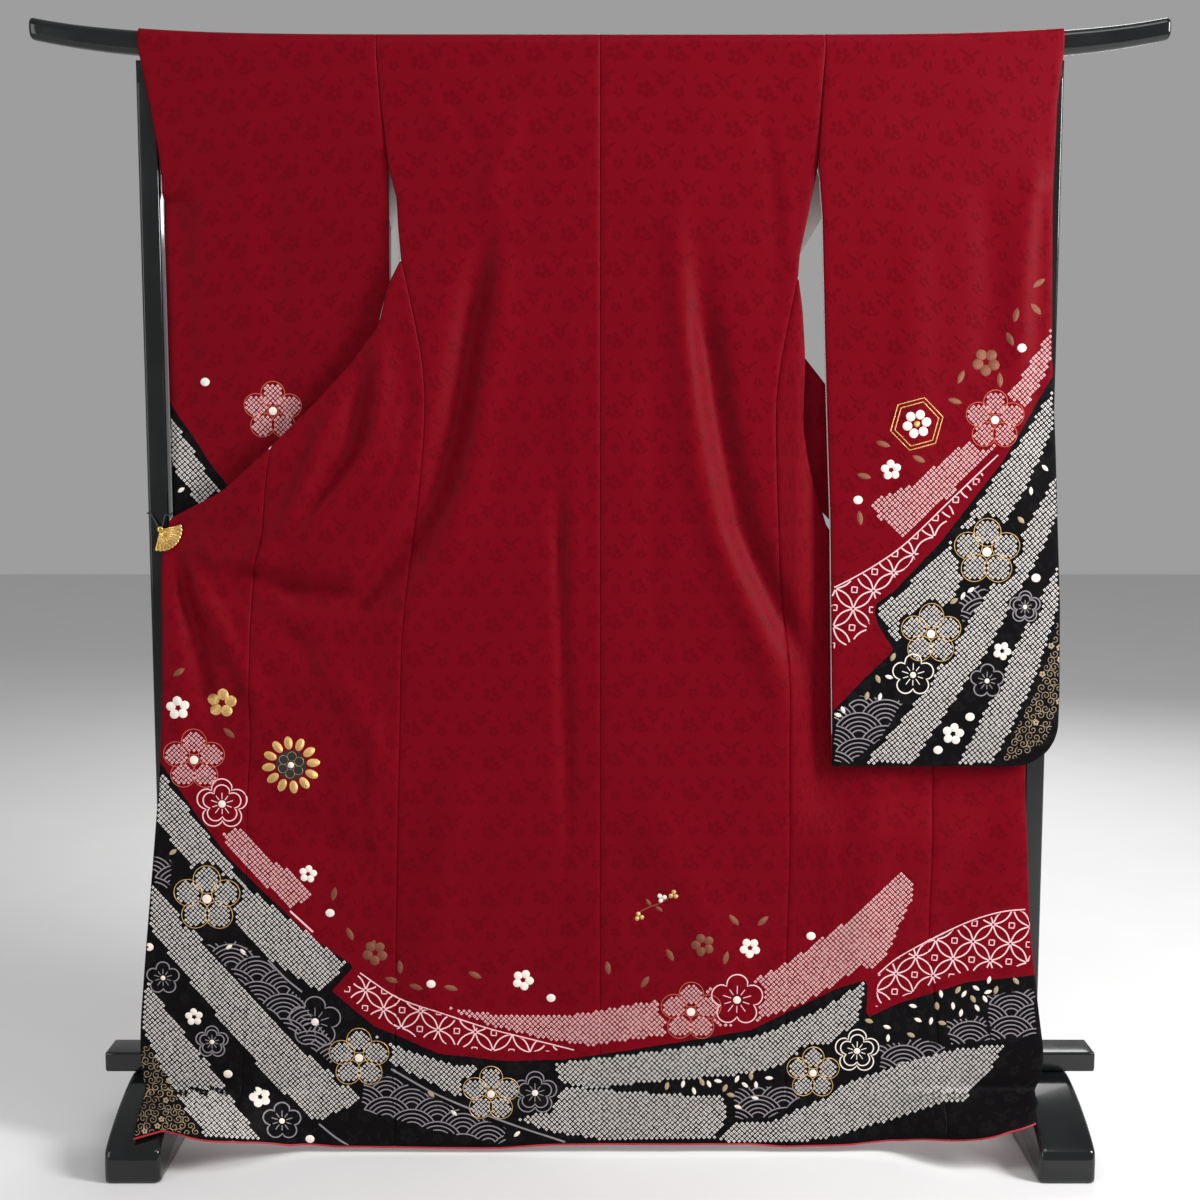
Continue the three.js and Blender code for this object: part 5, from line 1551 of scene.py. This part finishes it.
SLEEVE_FLOWERS = dict(
    right=dict(
        tied=[(987, 552, 34, "white"), (931, 634, 31, "white"), (995, 420, 30, "pink")],
        line=[(987, 681, 17, "grey"), (1025, 607, 16, "grey"), (913, 675, 21, "cream")],
        blossom=[(891, 470, 11), (953, 734, 12), (1002, 651, 10)],
        bronze=[(986, 362, 15)],
        dots=[(1022, 348), (858, 500), (1036, 578), (970, 717), (938, 750)],
        leaves=[(1039, 283), (1036, 309), (1016, 315), (1010, 339), (961, 377), (1000, 380), (955, 401),
                (883, 444), (919, 459), (864, 476), (860, 518)],
        pale=[(954, 601), (971, 590), (963, 596), (1021, 520), (1045, 468), (1031, 491), (867, 696),
              (880, 697), (889, 677), (878, 679), (843, 710), (838, 715), (893, 657)]),
    left=dict(tied=[(273, 411, 30, "pink")], dots=[(205, 382)],
              pale=[(169, 467), (181, 490), (169, 499), (165, 478)]))


def dress(face, bands, flowers):
    kept = face.petal_outlines([f[:3] for f in flowers.get("tied", [])]
                               + [f[:3] for f in flowers.get("line", [])])
    for key, colour, turn in (("white_rows", "white", 0.72), ("white_turned", "white", 0.80),
                              ("pink_rows", "pink", 0.72), ("pink_turned", "pink", 0.78)):
        for outline in bands.get(key, []):
            tied_dots(face.thread(colour), face.at(outline), turn, skip=kept)
    for outline, upper in bands.get("nets", []):
        net(face, face.at(outline))
        ribbon(face.thread("pink"), catmull(face.at(outline[:upper]), 6), 2.6)
    for outline in bands.get("waves", []):
        waves(face, face.at(outline))
    for outline in bands.get("curls", []):
        curls(face, face.at(outline))
    for colour, line in bands.get("lines", []):
        ribbon(face.thread(colour), catmull(face.at(line), 6), 4.0)
    for px, py, radius, colour in flowers.get("tied", []):
        face.tied_flower(px, py, radius, colour, rim="coral" if colour == "pink" else "gold")
    for i, (px, py, radius, colour) in enumerate(flowers.get("line", [])):
        face.line_flower(px, py, radius, colour, 0.3, i % 2 == 1)
    for i, (px, py, radius) in enumerate(flowers.get("blossom", [])):
        face.blossom(px, py, radius, "cream", 0.4 + i)
    for i, (px, py, radius) in enumerate(flowers.get("bronze", [])):
        face.blossom(px, py, radius, "bronze", 0.9 + i)
    for px, py in flowers.get("dots", []):
        face.dot(px, py, DOT_R)
    face.leaves(flowers.get("leaves", []), "bronze")
    pale = flowers.get("pale", [])
    face.leaves(pale[::3], "tan")
    face.leaves(pale[1::3] + pale[2::3], "cream")
    for px, py, radius in flowers.get("gold", []):
        face.blossom(px, py, radius, "gold", 0.2)


def round_of_petals(face, px, py, radius):
    """A round of twelve petals about a dark ring and a gold button."""
    (x, z), = face.at([(px, py)])
    r = radius * PX_MM
    for a in 0.1 + np.radians(np.arange(12) * 30):
        middle = (x + r * 0.76 * math.cos(a), z + r * 0.76 * math.sin(a))
        patch(face.thread("gold"), oval(*middle, r * 0.24, r * 0.15, a), 0.9)
    patch(face.thread("dark"), oval(x, z, r * 0.54, r * 0.54, count=24), 0.9)
    for petal in petals(x, z, r * 0.5, 0.4, 6, 0.6, 0.30):
        ribbon(face.thread("gold"), petal, 1.0, 1.5, closed=True)
    patch(face.thread("cream"), oval(x, z, r * 0.13, r * 0.13), 1.9)


def sprig(face, px, py):
    """A bent stem with two leaves and three buds."""
    (x, z), = face.at([(px, py)])
    stem = catmull([(x - 26, z - 12), (x - 8, z - 3), (x + 8, z + 3), (x + 27, z + 15)], 6)
    ribbon(face.thread("bronze"), stem, 2.4)
    for dx, dz, turn in ((-10, 4, 2.2), (6, -6, -0.6)):
        patch(face.thread("bronze"), leaf(x + dx, z + dz, 15, 6, turn), 0.6)
    for (dx, dz), colour in zip(((28, 16), (10, 11), (-24, -18)), ("gold", "cream", "gold")):
        for petal in petals(x + dx, z + dz, 8.5, 0.7 + dx, 3, 0.5, 0.44):
            patch(face.thread(colour), petal[::2], 0.9)


def hexagon(face, px, py, radius):
    """A six-sided frame about a six-petalled flower."""
    (x, z), = face.at([(px, py)])
    r = radius * PX_MM
    for share in (1.0, 0.84):
        ring = oval(x, z, r * share, r * share, 0.26, 6)
        line = np.concatenate([a + (b - a) * np.linspace(0, 1, 6)[:-1, None]
                               for a, b in zip(ring, np.roll(ring, -1, 0))])
        ribbon(face.thread("gold"), line, 2.0, 0.6, closed=True)
    for petal in petals(x, z, r * 0.62, 0.2, 6, 0.58, 0.30):
        patch(face.thread("cream"), petal[::2], 0.8)
    patch(face.thread("gold"), oval(x, z, r * 0.12, r * 0.12), 1.2)


hem = Face("hem", body_cloth, -1, lambda x, z: 0 * x + WORK_PLANE, WORK_PLANE)
dress(hem, BODY_BANDS, BODY_FLOWERS)
round_of_petals(hem, 291, 765, 30)
sprig(hem, 655, 905)
hem.finish()
# Cloth, side and name of the face, design, and -1 where the design is turned over: the left sleeve's
# hidden rear takes the right one's.
SLEEVE_WORK = [("left", -1, "back", "left", 1), ("left", 1, "front", "right", -1),
               ("right", -1, "back", "right", 1), ("right", 1, "front", "right", 1)]
for which, side, word, design, mirror in SLEEVE_WORK:
    face = Face(f"sleeve_{which}_{word}", sleeve_cloth[which], side, sleeve_face(design), mirror=mirror)
    dress(face, SLEEVE_BANDS[design], SLEEVE_FLOWERS[design])
    if design == "right":
        hexagon(face, 917, 424, 27)
    face.finish()


# ---------------------------------------------------------------- floor, camera and light

FLOOR = dict(reach=9.0, cells=24, below=1.0)
WORLD_STRENGTH = 0.34
# Name, place, aim and size in metres, power in watts.
LIGHTS = [("key", (2.7, -1.3, 2.3), (-0.1, 0, 1.0), (0.8, 1.5), 135),
          ("fill", (-2.5, -2.5, 1.6), (-0.1, 0, 0.8), (1.2, 2.2), 26),
          ("top", (0.3, -1.4, 3.6), (0, 0, 1.0), (2.4, 1.0), 26),
          ("behind", (0.8, 3.0, 2.6), (0, 0, 0.9), (2.0, 2.0), 60)]


def floor():
    reach, count = FLOOR["reach"], FLOOR["cells"]
    at = np.linspace(-reach, reach, count + 1) / MM
    x, y = np.meshgrid(at, at, indexing="ij")
    grid = np.arange((count + 1) ** 2).reshape(count + 1, count + 1)
    quads = np.stack([grid[:-1, :-1], grid[1:, :-1], grid[1:, 1:], grid[:-1, 1:]], -1)
    obj = make_mesh("studio_floor", to_points(x, y, 0 * x - FLOOR["below"]).reshape(-1, 3), quads)
    obj.data.materials.append(floor_finish())


def camera():
    data = bpy.data.cameras.new("view")
    data.sensor_width = 36
    data.lens = VIEW["lens"] * data.sensor_width / (2 * VIEW["middle"])
    obj = bpy.data.objects.new("view", data)
    obj.location = (0, -VIEW["back"] * MM, VIEW["high"] * MM)
    obj.rotation_euler = (math.pi / 2 - VIEW["tilt"], 0, 0)
    bpy.context.scene.collection.objects.link(obj)
    bpy.context.scene.camera = obj


def area_light(name, place, target, size, power):
    data = bpy.data.lights.new(name, "AREA")
    data.shape = "RECTANGLE"
    data.size, data.size_y = size
    data.energy = power
    obj = bpy.data.objects.new(name, data)
    obj.location = place
    obj.rotation_euler = (Vector(target) - Vector(place)).to_track_quat("-Z", "Y").to_euler()
    bpy.context.scene.collection.objects.link(obj)


def studio():
    world = bpy.data.worlds.new("studio")
    world.use_nodes = True
    background = world.node_tree.nodes["Background"]
    background.inputs["Color"].default_value = (1, 1, 1, 1)
    background.inputs["Strength"].default_value = WORLD_STRENGTH
    bpy.context.scene.world = world
    for light in LIGHTS:
        area_light(*light)
    bpy.context.scene.view_settings.view_transform = "Standard"


floor()
camera()
studio()
